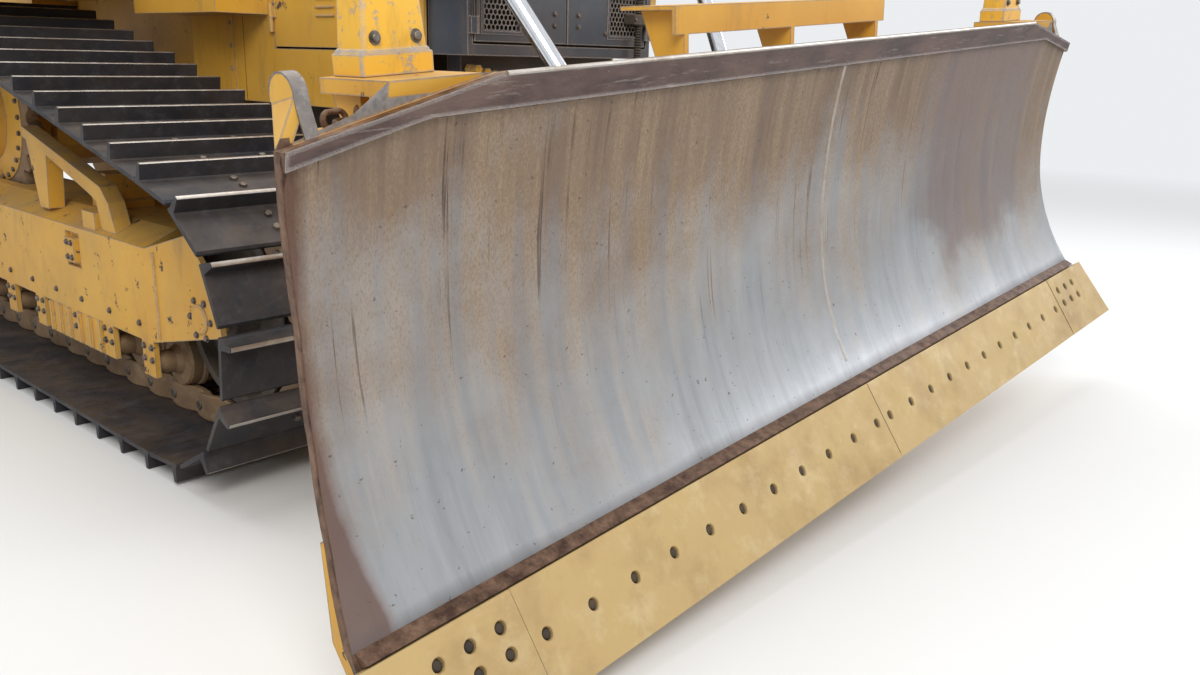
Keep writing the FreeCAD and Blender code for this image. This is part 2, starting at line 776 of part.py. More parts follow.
# C-frame
def c_frame():
    """Two arms that meet in a forked nose, with ears for the cylinders."""
    half = [(nose_radius * math.sin(math.radians(a)), pivot_y - nose_radius
             * math.cos(math.radians(a))) for a in (10, 30, 50, 70)]
    half += [(400, pivot_y + 105), (400, pivot_y + 240), (arm_outer, crotch_y),
             (arm_outer, crotch_y + 70)]
    outline = [(-x, y) for x, y in half] + [(x, y) for x, y in reversed(half)]
    nose = along_z(outline, nose_bottom, nose_top)
    hollow = [(-arm_inner, crotch_y + 100), (-arm_inner, crotch_y - 20),
              (-170, crotch_y - 390), (170, crotch_y - 390),
              (arm_inner, crotch_y - 20), (arm_inner, crotch_y + 100)]
    nose = nose.cut(along_z(hollow, nose_bottom - 1, nose_top + 1))
    slot = box((-451, 451), (pivot_y - 200, pivot_y + 340),
               (nose_bottom + nose_plate, nose_top - nose_plate))
    nose = nose.cut(slot)
    arm = box((arm_inner, arm_outer), (crotch_y + 55, trunnion_y), (arm_bottom, arm_top))
    eye = prism((arm_inner, trunnion_y, trunnion_z), (1, 0, 0), 98, arm_outer - arm_inner)
    bore = rod((arm_inner - 1, trunnion_y, trunnion_z), (1, 0, 0),
               trunnion_radius + running, arm_outer - arm_inner + 2)
    arm = joined([arm, eye]).cut(bore)
    # ears that the angle cylinders' barrels sit between
    ear_z = angle_eye_half + seat
    ears = [box((arm_outer - 10, angle_base_x + 45), (angle_base_y - 45, angle_base_y + 45),
                (pivot_z + s * (ear_z + 10) - 10, pivot_z + s * (ear_z + 10) + 10))
            for s in (-1, 1)]
    root = box((arm_outer - 10, arm_outer + 12), (angle_base_y - 45, angle_base_y + 45),
               (pivot_z - ear_z, pivot_z + ear_z))
    # lug beside each lift rod's eye
    lug_x = lift_eye[0] - lift_eye_half - lift_side_gap
    lug = box((lug_x - 46, lug_x), (lift_eye[1] - 45, lift_eye[1] + 60),
              (nose_top - 5, lift_eye[2] - 5))
    knob = prism((lug_x - 46, lift_eye[1], lift_eye[2] - 5), (1, 0, 0), 55, 46)
    left = [arm, root, lug, knob] + ears
    right = [mirror(s) for s in left]
    pin = prism((0, pivot_y, nose_bottom - 15), (0, 0, 1), pivot_radius,
                nose_top - nose_bottom + 30, many_sides)
    return joined([nose, pin] + left + right)


def blade_yoke():
    """Block that turns on the nose pin: side arms, tilt pin and tilt tower."""
    z = (nose_bottom + nose_plate + seat, nose_top - nose_plate - seat)
    block = box((-165, 165), (pivot_y - yoke_front, pivot_y + 120), z)
    bar = box((-eye_x + 75, eye_x - 75), (pivot_y - 58, pivot_y + 58), (z[0] + 8, z[1] - 8))
    reach = 44.0 + swing_gap
    ears = []
    for s in (-1, 1):
        zc = pivot_z + s * (reach + 10)
        ears.append(box((eye_x - 120, eye_x + 48), (pivot_y - 50, pivot_y + eye_back + 48),
                        (zc - 10, zc + 10)))
    ears.append(box((eye_x - 135, eye_x - 95), (pivot_y - 50, pivot_y + 50),
                    (pivot_z - reach - 20, pivot_z + reach + 20)))
    tilt_pin = prism((0, pivot_y - yoke_front + 10, pivot_z), (0, -1, 0),
                     tilt_pin_radius, 120, many_sides)
    y = (pivot_y - yoke_front, pivot_y - yoke_front + tower_thickness)
    # upright plate ahead of the nose, wider above it
    tower = along_y([(-60, z[0]), (60, z[0]), (60, nose_top + 20), (tower_x + 60, nose_top + 90),
                     (tower_x + 60, tower_z + 50), (tower_x - 60, tower_z + 50),
                     (-60, nose_top + 90)], *y)
    bore = rod((0, pivot_y, z[0] - 1), (0, 0, 1), pivot_radius + running, z[1] - z[0] + 2)
    return joined([block, bar, tilt_pin, tower] + ears
                  + [mirror(s) for s in ears]).cut(bore)


def unit(start, end):
    line = vec(*end) - vec(*start)
    line.normalize()
    return line


def barrel(eye, rod_eye, radius, before, after, cross, eye_half):
    """A cylinder barrel on its pivot: the tube runs from before to after the pivot.

    before points at the rod; after is the closed end. One of its two stubs is truly
    round, the other has flat sides to save facets."""
    line = unit(eye, rod_eye)
    start = vec(*eye) - line * after
    length = before + after
    body = prism(start, line, radius, length)
    bore = prism(start + line * 20, line, radius - 14, length - 40, hole=True)
    gland = prism(start + line * (length - 45), line, radius + 5, 45)
    pin = vec(*cross)
    pin.normalize()
    inside = prism(start, line, radius - 8, length)
    round_stub = rod(eye, pin, trunnion_stub, eye_half).cut(inside)
    flat_stub = prism(eye, -pin, trunnion_stub, eye_half, few_sides).cut(inside)
    return joined([body.cut(bore), gland, round_stub, flat_stub])


def through(shape, eye, rod_eye, radius, before):
    """Bores the barrel's front end for its rod, whose flats lie along the bore's."""
    line = unit(eye, rod_eye)
    hole = prism(vec(*eye) + line * (before - 60), line, radius + 2 * running, 80)
    return shape.cut(hole)


def piston_rod(eye, rod_eye, radius, inside, cross, eye_half, piston):
    """Rod from its eye into the barrel, with the piston on its end."""
    line = unit(rod_eye, eye)
    length = (vec(*eye) - vec(*rod_eye)).Length + inside
    shaft = prism(rod_eye, line, radius, length)
    head = prism(vec(*rod_eye) + line * (length - 60), line, piston, 60)
    pin = vec(*cross)
    pin.normalize()
    eye_ring = prism(vec(*rod_eye) - pin * eye_half, pin, 48, 2 * eye_half)
    return joined([shaft, head, eye_ring])


# Lift cylinder: its pivot axis is square to the rod at rest, and nearly so when raised
def raised(point, degrees):
    """A point of the C-frame after the frame has turned about its trunnions."""
    a = math.radians(degrees)
    y = point[1] - trunnion_y
    z = point[2] - trunnion_z
    return (point[0], trunnion_y + y * math.cos(a) + z * math.sin(a),
            trunnion_z - y * math.sin(a) + z * math.cos(a))


lift_line = unit(lift_top, lift_eye)
lift_axis = lift_line.cross(unit(lift_top, raised(lift_eye, lift_up)))
lift_axis = FreeCAD.Rotation(lift_line, lift_axis_turn).multVec(lift_axis)
lift_axis.normalize()


def lift_barrel():
    body = barrel(lift_top, lift_eye, lift_bore, 165.0, 1065.0, tuple(lift_axis), 96.0)
    return through(body, lift_top, lift_eye, lift_rod, 165.0)


def lift_piston_rod():
    return piston_rod(lift_top, lift_eye, lift_rod, 273.0, (1, 0, 0), lift_eye_half,
                      lift_bore - 14 - 0.5)


def lift_bracket():
    """Yoke on the guard's side that carries the left lift cylinder's trunnions."""
    line = unit(lift_top, lift_eye)
    across = lift_axis
    behind = line.cross(across)
    if behind.y < 0:
        behind = behind * -1
    centre = vec(*lift_top)
    half = 96.0 + seat
    cheek = 26.0
    arm_front = lift_top[1] + 52

    def block(a, b, c):
        """A block from its ranges along the pivot, behind it, and along the tube."""
        corner = centre + across * a[0] + behind * b[0] + line * c[0]
        made = Part.makeBox(a[1] - a[0], b[1] - b[0], c[1] - c[0])
        turn = FreeCAD.Placement()
        turn.Rotation = FreeCAD.Rotation(across, behind, line, "XYZ")
        turn.Base = corner
        made.Placement = turn
        return made

    pieces = [block((half, half + cheek), (-55, 125), (-50, 50)),
              block((-half - cheek, -half), (-55, 125), (-50, 50)),
              block((-half - cheek, half + cheek), (100, 130), (-50, 50))]
    arm = box((guard_half + seat, lift_top[0] + 60), (arm_front, guard_front + 90),
              (1735, 1815))
    foot = box((guard_half + seat, guard_half + 40), (guard_front + 5, guard_back - 40),
               (1640, 1900))
    return joined(pieces + [arm, foot])


def angle_barrel():
    base = (angle_base_x, angle_base_y, pivot_z)
    end = (eye_x, pivot_y + eye_back, pivot_z)
    body = barrel(base, end, angle_bore, 640.0, 40.0, (0, 0, 1),
                  angle_eye_half)
    return through(body, base, end, angle_rod, 640.0)


def angle_piston_rod():
    base = (angle_base_x, angle_base_y, pivot_z)
    end = (eye_x, pivot_y + eye_back, pivot_z)
    return piston_rod(base, end, angle_rod, -273.0, (0, 0, 1), 44.0, angle_bore - 14 - 0.5)


# Tilt cylinder, between the yoke's tower and the blade's back
tilt_eye_half = 47.0
tilt_y = pivot_y - yoke_front - seat - tilt_eye_half
tilt_start = (tower_x, tilt_y, tower_z)
tilt_end = (tilt_lug_x, tilt_y, tilt_lug_z)


def tilt_barrel():
    body = barrel(tilt_start, tilt_end, tilt_bore, 560.0, 40.0, (0, 1, 0), tilt_eye_half)
    return through(body, tilt_start, tilt_end, tilt_rod, 560.0)


def tilt_piston_rod():
    return piston_rod(tilt_start, tilt_end, tilt_rod, -390.0, (0, 1, 0), 34.0,
                      tilt_bore - 14 - 0.5)


# Blade section: unit vectors up along the cutting edge and back out of its face
lean = math.radians(edge_lean)
edge_up = (math.sin(lean), math.cos(lean))
edge_in = (math.cos(lean), -math.sin(lean))
edge_top = edge_height - edge_drop
arc_start = edge_top + edge_to_arc
backing = edge_thickness + seat
# centre of the lower arc, and the point where the face stands upright
lower_y = arc_start * edge_up[0] + (backing - lower_arc) * edge_in[0]
upright_z = arc_start * edge_up[1] + (backing - lower_arc) * edge_in[1]
upper_y = lower_y + lower_arc - upper_arc


def edge_point(up, inward):
    """A (y, z) point by its distances along and behind the cutting edge's face."""
    return (blade_y + up * edge_up[0] + inward * edge_in[0],
            blade_z + up * edge_up[1] + inward * edge_in[1])


def arc_point(radius, degrees, upper):
    """A (y, z) point on the face's lower or upper arc, 0 degrees where it is upright."""
    a = math.radians(degrees)
    centre = upper_y if upper else lower_y
    return (blade_y + centre + radius * math.cos(a), blade_z + upright_z + radius * math.sin(a))


def face_y(z, depth):
    """Y of the surface a depth behind the blade's face, at a height over the bolt line."""
    rise = z - upright_z
    if rise > 0:
        return blade_y + upper_y + math.sqrt((upper_arc + depth) ** 2 - rise ** 2)
    if -rise < (lower_arc + depth) * math.sin(lean):
        return blade_y + lower_y + math.sqrt((lower_arc + depth) ** 2 - rise ** 2)
    across = backing + depth
    up = (z - across * edge_in[1]) / edge_up[1]
    return edge_point(up, across)[0]


def arc_edge(radius, start, end, upper):
    points = [arc_point(radius, a, upper) for a in (start, (start + end) / 2, end)]
    return Part.Arc(*[vec(0, y, z) for y, z in points]).toShape()


def line_edge(a, b):
    return Part.makeLine(vec(0, *a), vec(0, *b))


def board_sheet(front, back, from_edge, top):
    """The face's section between two depths, extruded over the whole width."""
    end = math.degrees(math.asin((top - upright_z) / upper_arc))
    wires = []
    for depth in (front, back):
        start = arc_point(lower_arc + depth, -edge_lean, False)
        low = edge_point(from_edge, backing + depth)
        wires.append([line_edge(low, start),
                      arc_edge(lower_arc + depth, -edge_lean, 0, False),
                      arc_edge(upper_arc + depth, 0, end, True)])
    ends = [(edge_point(from_edge, backing + front), edge_point(from_edge, backing + back)),
            (arc_point(upper_arc + front, end, True), arc_point(upper_arc + back, end, True))]
    edges = wires[0] + [line_edge(*ends[1])] + wires[1] + [line_edge(*ends[0])]
    wire = Part.Wire(Part.__sortEdges__(edges))
    width = 2 * blade_half_bottom + 200
    sheet = Part.Face(wire).extrude(vec(width, 0, 0))
    sheet.translate(vec(-width / 2, 0, 0))
    return sheet


def front_view(points):
    """A deep block from an outline of (x, height over the bolt line) points."""
    return along_y([(x, blade_z + z) for x, z in points], blade_y - 600, blade_y + 900)


def parked(shape):
    """Tilts a blade piece about the yoke's tilt pin to its parked attitude."""
    turned = shape.copy()
    turned.rotate(vec(0, pivot_y, pivot_z), vec(0, -1, 0), blade_tilt)
    return turned


def beam(depth_profile, x0, x1, low, high):
    """A member behind the face, from low to high, closed by the (y, z) points behind it."""
    steps = 5
    heights = [high - (high - low) * i / steps for i in range(steps + 1)]
    front = [(face_y(z, board_plate / 2), blade_z + z) for z in heights]
    back = [(blade_y + y, blade_z + z) for y, z in depth_profile]
    return along_x(front + back, x0, x1)


def moldboard():
    """Curved face with its top strip, beams, end ribs, shelf and ears."""
    top = board_top
    end_z = top - corner_drop
    bottom = -60.0
    outline = [(-blade_half_bottom, bottom), (blade_half_bottom, bottom),
               (blade_half_top, end_z), (corner_in, top), (-corner_in, top),
               (-blade_half_top, end_z)]
    sheet = board_sheet(0, board_plate, -35, top).common(front_view(outline))
    strip = board_sheet(-strip_thickness + board_plate, board_plate, 0, top)
    low = strip_bottom
    band = [(-blade_half_top, end_z - 38), (-corner_in - 110, low), (corner_in + 110, low),
            (blade_half_top, end_z - 38), (blade_half_top, end_z), (corner_in, top),
            (-corner_in, top), (-blade_half_top, end_z)]
    strip = strip.common(front_view(band))
    # step bar over the cutting edge
    step = along_x([edge_point(edge_top + 4, backing - 26), edge_point(edge_top + 4, backing + 5),
                    edge_point(edge_top + 42, backing + 5), edge_point(edge_top + 34, backing - 6)],
                   -blade_half_bottom + 25, blade_half_bottom - 25)
    lower_beam = beam([(205, -30), (lower_beam_back, 60), (lower_beam_back, 300)],
                      -1950, 1950, -20, 330)
    upper_beam = beam([(upper_beam_back, beam_low), (upper_beam_back, beam_high)],
                      -1780, 1780, beam_low, beam_high)
    ribs = []
    for x in (-1850, -1290, -700, 700, 1290, 1850):
        ribs.append(beam([(lower_beam_back, 300), (300, 700), (upper_beam_back, beam_low)],
                         x - 12, x + 12, 300, beam_low))
    shelves = []
    for side in (-1, 1):
        xs = sorted((side * (mast_x - 118), side * (mast_x + 118)))
        shelves.append(box(xs, (blade_y + 205, blade_y + mast_back + 62),
                           (blade_z + mast_base - 32 - seat, blade_z + mast_base - seat)))
        for x in (mast_x - 100, mast_x + 80):
            x0, x1 = sorted((side * x, side * (x + 20)))
            gusset = [(330, beam_high - 5), (upper_beam_back, beam_high - 5),
                      (mast_back + 55, mast_base - 20), (330, mast_base - 20)]
            shelves.append(along_x([(blade_y + y, blade_z + z) for y, z in gusset], x0, x1))
    ears = []
    for side in (-1, 1):
        x0 = side * ear_x - 15
        front = [(face_y(z, board_plate / 2), blade_z + z) for z in (1020, 1100)]
        ear = along_x([(blade_y + 300, blade_z + 1020), (blade_y + 332, blade_z + 1190),
                       (blade_y + 252, blade_z + 1190)] + front[::-1], x0, x0 + 30)
        ears.append(ear)
        ears.append(prism((x0, blade_y + 292, blade_z + 1190), (1, 0, 0), 42, 30))
    lug = box((tilt_lug_x - 60, tilt_lug_x + 60),
              (blade_y + 270, tilt_y - 34 - swing_gap),
              (tilt_lug_z - 60, tilt_lug_z + 60))
    whole = joined([sheet, strip, step, lower_beam, upper_beam] + ribs + shelves + ears)
    # the lug stands upright as parked
    return joined([parked(whole), lug])


def cutting_edges():
    """Two bevelled bars, butted at the centre."""
    section = [edge_point(-edge_drop, 0), edge_point(edge_top, 0),
               edge_point(edge_top, edge_thickness), edge_point(-edge_drop + 26, edge_thickness)]
    left = along_x(section, 1.0, edge_length)
    return Part.makeCompound([parked(left), parked(mirror(left))])


def end_bits():
    """Corner plates that flare out towards the tip."""
    section = [edge_point(-edge_drop, -2), edge_point(edge_top, -2),
               edge_point(edge_top, edge_thickness), edge_point(-edge_drop + 26, edge_thickness)]
    x0 = edge_length + 2
    long = along_x(section, x0, edge_length + end_bit_length + end_bit_toe)
    tip_z = -edge_drop * edge_up[1] - 5
    top_z = edge_top * edge_up[1] + 5
    keep = front_view([(x0, tip_z), (edge_length + end_bit_length + end_bit_toe, tip_z),
                       (edge_length + end_bit_length, top_z), (x0, top_z)])
    left = long.common(keep)
    return Part.makeCompound([parked(left), parked(mirror(left))])


def blade_hub():
    """Boss for the tilt pin with its side plates, welded behind the face."""
    back = pivot_y - yoke_front - seat
    beam_back = blade_y + lower_beam_back + seat
    boss = prism((0, back, pivot_z), (0, -1, 0), tilt_boss_radius, back - beam_back,
                 many_sides)
    low = pivot_z - tilt_boss_radius - 10
    middle = pivot_z + tilt_boss_radius
    high = blade_z + 560
    # (y, z), up the board's back and down behind the boss
    cheek = [(beam_back, low + 30), (beam_back, blade_z + 330)]
    cheek += [(face_y(z, board_plate + 1.2), blade_z + z) for z in (400, 480, 560)]
    cheek += [(blade_y + 320, high), (back - 60, middle), (back - 60, low + 60)]
    sides = [along_x(cheek, x, x + 35) for x in (-165, 130)]
    web = box((-165, 165), (beam_back, back - 60), (pivot_z - 60, pivot_z + 60))
    hole = rod((0, back + 1, pivot_z), (0, -1, 0), tilt_pin_radius + running, 116)
    return parked(joined([boss, web] + sides).cut(hole))


def blade_guard():
    """Bent plate over the centre of the blade, on two legs."""
    y = blade_y
    z = blade_z
    back = upper_beam_back + seat
    bend = [(back, 1318), (back, 1240), (back + 12, 1240), (back + 12, 1306),
            (back + 200, 1306), (back + 200, 1318)]
    cover = along_x([(y + a, z + b) for a, b in bend], -600, 600)
    legs = []
    for x in (-560, -10, 540):
        legs.append(along_x([(y + back, z + 990), (y + back + 30, z + 990),
                             (y + back + 160, z + 1310), (y + back, z + 1310)], x, x + 20))
    return parked(joined([cover] + legs))


def mast_mounts():
    """Tapered pedestals with a round socket for a mast."""
    z0 = blade_z + mast_base
    y0 = blade_y + mast_back
    foot = box((mast_x - 92, mast_x + 92), (y0 - 52, y0 + 52), (z0, z0 + 45))
    cone = frustum((mast_x, y0), (82, 48), z0 + 45, (62, 44), z0 + 300)
    socket = prism((mast_x, y0, z0 + 290), (0, 0, 1), 60, 110)
    bore = rod((mast_x, y0, z0 + 280), (0, 0, 1), mast_bore, 130)
    left = joined([foot, cone, socket]).cut(bore)
    return Part.makeCompound([parked(left), parked(mirror(left))])


# Write the pieces
save("main_frame", main_frame())
save("engine_block", engine_block())
save("radiator_guard", radiator_guard())
save_sides("grille_door", grille_door())
save("hood", hood())
save_sides("engine_door", engine_door())
save_sides("fender", fender())
save("cab_shell", cab_shell())
save("cab_roof", cab_roof())
save("cab_glass", Part.makeCompound(cab_glass()))
save_sides("cab_door", cab_door())
save("operator_seat", operator_seat())
save("console", Part.makeCompound(console()))
save("exhaust_stack", exhaust_stack())
save("precleaner", precleaner())
save("lamps", Part.makeCompound(lamps()))
save("fuel_tank", fuel_tank())
save("drawbar", drawbar())
save_sides("track", track())
save_sides("track_frame", track_frame())
save("sprockets", both(sprocket()))
turning = idlers()
save("idlers", Part.makeCompound(turning + [mirror(s) for s in turning]))
turning = rollers()
save("rollers", Part.makeCompound(turning + [mirror(s) for s in turning]))
save("equalizer_bar", box((-track_x - 90, track_x + 90),
                          (saddle_y - bar_depth / 2, saddle_y + bar_depth / 2),
                          (bar_z - bar_height / 2 + seat, bar_z + bar_height / 2)))
save("c_frame", c_frame())
save("blade_yoke", blade_yoke())
save_sides("lift_barrel", lift_barrel())
save_sides("lift_rod", lift_piston_rod())
save("lift_brackets", both(lift_bracket()))
save_sides("angle_barrel", angle_barrel())
save_sides("angle_rod", angle_piston_rod())
save("tilt_barrel", tilt_barrel())
save("tilt_rod", tilt_piston_rod())
save("moldboard", moldboard())
save("cutting_edges", cutting_edges())
save("end_bits", end_bits())
save("blade_hub", blade_hub())
save("blade_guard", blade_guard())
save("mast_mounts", mast_mounts())
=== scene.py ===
import math
import bpy
import bmesh
import numpy as np
from mathutils import Matrix, Vector


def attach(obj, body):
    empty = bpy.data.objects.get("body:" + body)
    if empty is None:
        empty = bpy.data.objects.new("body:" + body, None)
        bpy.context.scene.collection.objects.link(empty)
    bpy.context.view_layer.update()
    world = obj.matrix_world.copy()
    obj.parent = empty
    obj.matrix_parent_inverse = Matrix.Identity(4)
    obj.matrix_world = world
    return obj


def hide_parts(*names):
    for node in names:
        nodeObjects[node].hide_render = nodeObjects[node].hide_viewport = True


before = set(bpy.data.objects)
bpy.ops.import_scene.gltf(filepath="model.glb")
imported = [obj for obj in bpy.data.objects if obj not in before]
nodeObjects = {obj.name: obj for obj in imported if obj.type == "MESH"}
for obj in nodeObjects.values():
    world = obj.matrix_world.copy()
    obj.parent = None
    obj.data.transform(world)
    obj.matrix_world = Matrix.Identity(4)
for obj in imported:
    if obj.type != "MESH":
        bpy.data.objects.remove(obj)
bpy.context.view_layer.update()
scene = bpy.context.scene
scene.view_settings.view_transform = "Standard"
print("frame loaded")

machine = {
    "shift": 0.138,          # the part's origin ahead of the layout's
    "pivot": (-2.490, 0.510),    # nose pin: y in the layout, z
    "tilt": math.radians(4.2),
}
track = {
    "wheels": [(-1.222, 0.533), (1.128, 1.090), (2.053, 0.533)],
    "pinRadius": 0.410,
    "count": 46,
    "phase": 0.65,
    "centre": 1.158,
    "shoeWidth": 0.820,
}
blade = {
    "y": -3.060, "z": 0.300,
    "lean": math.radians(33),
    "edgeTop": 0.129, "edgeDrop": 0.136, "backing": 0.0373,
    "lowerArc": 1.0, "upperArc": 2.0, "toArc": 0.010,
    "top": 1.203, "stripLow": 1.127,
}
board = {"from": [-1.0, 1.0, 1.087, 1.125, 1.18, 1.29], "to": [-1.0, 1.0, 1.062, 1.100, 1.127, 1.203], "endBare": 1.922}
blade["up"] = (math.sin(blade["lean"]), math.cos(blade["lean"]))
blade["inward"] = (math.cos(blade["lean"]), -math.sin(blade["lean"]))
arcStart = blade["edgeTop"] + blade["toArc"]
lowerY = arcStart * blade["up"][0] + (blade["backing"] - blade["lowerArc"]) * blade["inward"][0]
uprightZ = arcStart * blade["up"][1] + (blade["backing"] - blade["lowerArc"]) * blade["inward"][1]
upperY = lowerY + blade["lowerArc"] - blade["upperArc"]


def faceY(z, depth):
    # distance behind the bolt line of the face's two arcs and the flat below them
    rise = z - uprightZ
    upper = upperY + np.sqrt(np.maximum((blade["upperArc"] + depth) ** 2 - rise ** 2, 0))
    lower = lowerY + np.sqrt(np.maximum((blade["lowerArc"] + depth) ** 2 - rise ** 2, 0))
    across = blade["backing"] + depth
    up = (z - across * blade["inward"][1]) / blade["up"][1]
    flat = up * blade["up"][0] + across * blade["inward"][0]
    low = -rise > (blade["lowerArc"] + depth) * math.sin(blade["lean"])
    return np.where(rise > 0, upper, np.where(low, flat, lower))


def parkBlade(p):
    # blade coordinates (x, behind the bolt line, over the bolt line) to the parked machine
    x, y, z = p[..., 0], p[..., 1] + blade["y"], p[..., 2] + blade["z"] - machine["pivot"][1]
    c, s = math.cos(machine["tilt"]), math.sin(machine["tilt"])
    return np.stack((x * c - z * s, y + machine["shift"], machine["pivot"][1] + x * s + z * c), -1)


def edgePoint(x, up, inward):
    # along and behind the cutting edge's face
    return np.stack((x, up * blade["up"][0] + inward * blade["inward"][0],
                     up * blade["up"][1] + inward * blade["inward"][1]), -1)


def levelBlade(p):
    # the parked machine back to blade coordinates
    x, y, z = p[..., 0], p[..., 1] - machine["shift"] - blade["y"], p[..., 2] - machine["pivot"][1]
    c, s = math.cos(machine["tilt"]), math.sin(machine["tilt"])
    return np.stack((x * c + z * s, y, z * c - x * s + machine["pivot"][1] - blade["z"]), -1)


def halfWidth(z):
    # the blade's waisted outline, its upper corners cut off
    return np.interp(z, [-0.06, 0.12, 0.30, 0.50, 0.75, 1.00, 1.10, 1.203],
                     [2.008, 1.995, 1.960, 1.940, 1.936, 1.954, 1.960, 1.450])


def makeObject(name, points, faces, materials, body, slot, uv=None, smooth=30, bevel=None):
    mesh = bpy.data.meshes.new(name)
    mesh.from_pydata(points.reshape(-1, 3).tolist(), [], faces)
    if uv is not None:
        layer = mesh.uv_layers.new(name="UVMap")
        index = np.zeros(len(mesh.loops), np.int32)
        mesh.loops.foreach_get("vertex_index", index)
        layer.data.foreach_set("uv", uv.reshape(-1, 2)[index].astype(np.float32).ravel())
    piece = bpy.data.objects.new(name, mesh)
    scene.collection.objects.link(piece)
    tidyMesh(mesh, uv is None)
    for material in materials if isinstance(materials, (list, tuple)) else [materials]:
        mesh.materials.append(material)
    mesh.shade_smooth()
    mesh.set_sharp_from_angle(angle=math.radians(smooth))
    if bevel:
        roundEdges(piece, bevel, len(mesh.materials) > 1)
    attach(piece, body)
    return piece


def tidyMesh(mesh, merge):
    work = bmesh.new()
    work.from_mesh(mesh)
    if merge:
        bmesh.ops.remove_doubles(work, verts=work.verts, dist=0.00002)
        bmesh.ops.dissolve_degenerate(work, edges=work.edges, dist=0.00001)
    bmesh.ops.recalc_face_normals(work, faces=work.faces)
    work.to_mesh(mesh)
    work.free()


def roundEdges(piece, width, worn):
    change = piece.modifiers.new("edges", "BEVEL")
    change.width = width
    change.segments = 2
    change.limit_method = "ANGLE"
    change.angle_limit = math.radians(32)
    change.harden_normals = True
    if worn:
        change.material = 1


def ringFaces(count, rings, around, closed=True, caps=True):
    # quads between the rings of each of count solids, and their end faces
    wrap = around if closed else around - 1
    k, n = np.meshgrid(np.arange(rings - 1), np.arange(wrap), indexing="ij")
    a = k * around + n
    b = k * around + (n + 1) % around
    quads = np.stack((a, b, b + around, a + around), -1).reshape(-1, 4)
    step = rings * around
    quads = (quads[None] + np.arange(count)[:, None, None] * step).reshape(-1, 4).tolist()
    if caps and closed:
        first = np.arange(around)[::-1][None] + np.arange(count)[:, None] * step
        last = np.arange(around)[None] + (rings - 1) * around + np.arange(count)[:, None] * step
        quads += first.tolist() + last.tolist()
    return quads


def ringSolids(name, rings, materials, body, slot, **more):
    # rings: (solids, rings, points, 3), each solid a profile carried along its rings
    rings = np.asarray(rings, float)
    if rings.ndim == 3:
        rings = rings[None]
    m, k, n, _ = rings.shape
    return makeObject(name, rings, ringFaces(m, k, n), materials, body, slot, **more)


def chamferedBoxes(name, table, materials, body, slot, chamfer=0.003, turn=None, **more):
    # table rows: x0, x1, y0, y1, z0, z1; four rings of four points with narrowed ends
    t = np.asarray(table, float)
    lo, hi = t[:, 0::2], t[:, 1::2]
    c = np.minimum(chamfer, (hi - lo).min(1) * 0.3)[:, None, None]
    inset = np.array([1, 0, 0, 1])[None, :, None]
    zs = np.stack((lo[:, 2], lo[:, 2] + c[:, 0, 0], hi[:, 2] - c[:, 0, 0], hi[:, 2]), 1)
    corner = np.array([(0, 0), (1, 0), (1, 1), (0, 1)])
    ends = inset * c
    xs = np.where(corner[None, None, :, 0] == 1, hi[:, None, None, 0] - ends, lo[:, None, None, 0] + ends)
    ys = np.where(corner[None, None, :, 1] == 1, hi[:, None, None, 1] - ends, lo[:, None, None, 1] + ends)
    rings = np.stack((xs, ys, np.broadcast_to(zs[:, :, None], xs.shape)), -1)
    if turn is not None:
        rings = turn(rings)
    return ringSolids(name, rings, materials, body, slot, **more)


def frames(points, normals):
    # two directions square to each normal
    n = np.asarray(normals, float)
    n = n / np.linalg.norm(n, axis=-1, keepdims=True)
    helper = np.where(np.abs(n[..., 2:3]) < 0.9, np.array([0, 0, 1.0]), np.array([1.0, 0, 0]))
    a = np.cross(helper, n)
    a = a / np.linalg.norm(a, axis=-1, keepdims=True)
    return np.asarray(points, float), a, np.cross(n, a), n


def studs(name, points, normals, profile, materials, body, slot, sides=6, **more):
    # a (radius, height) profile turned round each normal
    p, a, b, n = frames(points, normals)
    angle = np.arange(sides) * 2 * math.pi / sides
    prof = np.asarray(profile, float)
    ringDir = a[:, None, :] * np.cos(angle)[None, :, None] + b[:, None, :] * np.sin(angle)[None, :, None]
    rings = (p[:, None, None, :] + prof[None, :, None, :1] * ringDir[:, None, :, :]
             + prof[None, :, None, 1:] * n[:, None, None, :])
    return ringSolids(name, rings, materials, body, slot, **more)


def lathe(name, centres, axis, profile, materials, body, slot, sides=48, **more):
    # (distance along the axis, radius) points turned round it, at each centre
    axis = np.asarray(axis, float)
    prof = np.asarray(profile, float)
    normals = np.broadcast_to(axis, (len(centres), 3))
    return studs(name, centres, normals, prof[:, ::-1], materials, body, slot, sides, **more)


def sweepTube(name, path, radius, materials, body, slot, sides=12, **more):
    # a circle carried along a polyline, square to its direction
    path = np.asarray(path, float)
    along = np.gradient(path, axis=0)
    _, a, b, _ = frames(path, along)
    for i in range(1, len(a)):      # keeps the ring from twisting
        n = along[i] / np.linalg.norm(along[i])
        a[i] = a[i - 1] - n * (a[i - 1] @ n)
        a[i] /= np.linalg.norm(a[i])
        b[i] = np.cross(n, a[i])
    angle = np.arange(sides) * 2 * math.pi / sides
    radius = np.broadcast_to(radius, (len(path),))
    rings = path[:, None] + radius[:, None, None] * (a[:, None] * np.cos(angle)[None, :, None]
                                                     + b[:, None] * np.sin(angle)[None, :, None])
    return ringSolids(name, rings, materials, body, slot, **more)


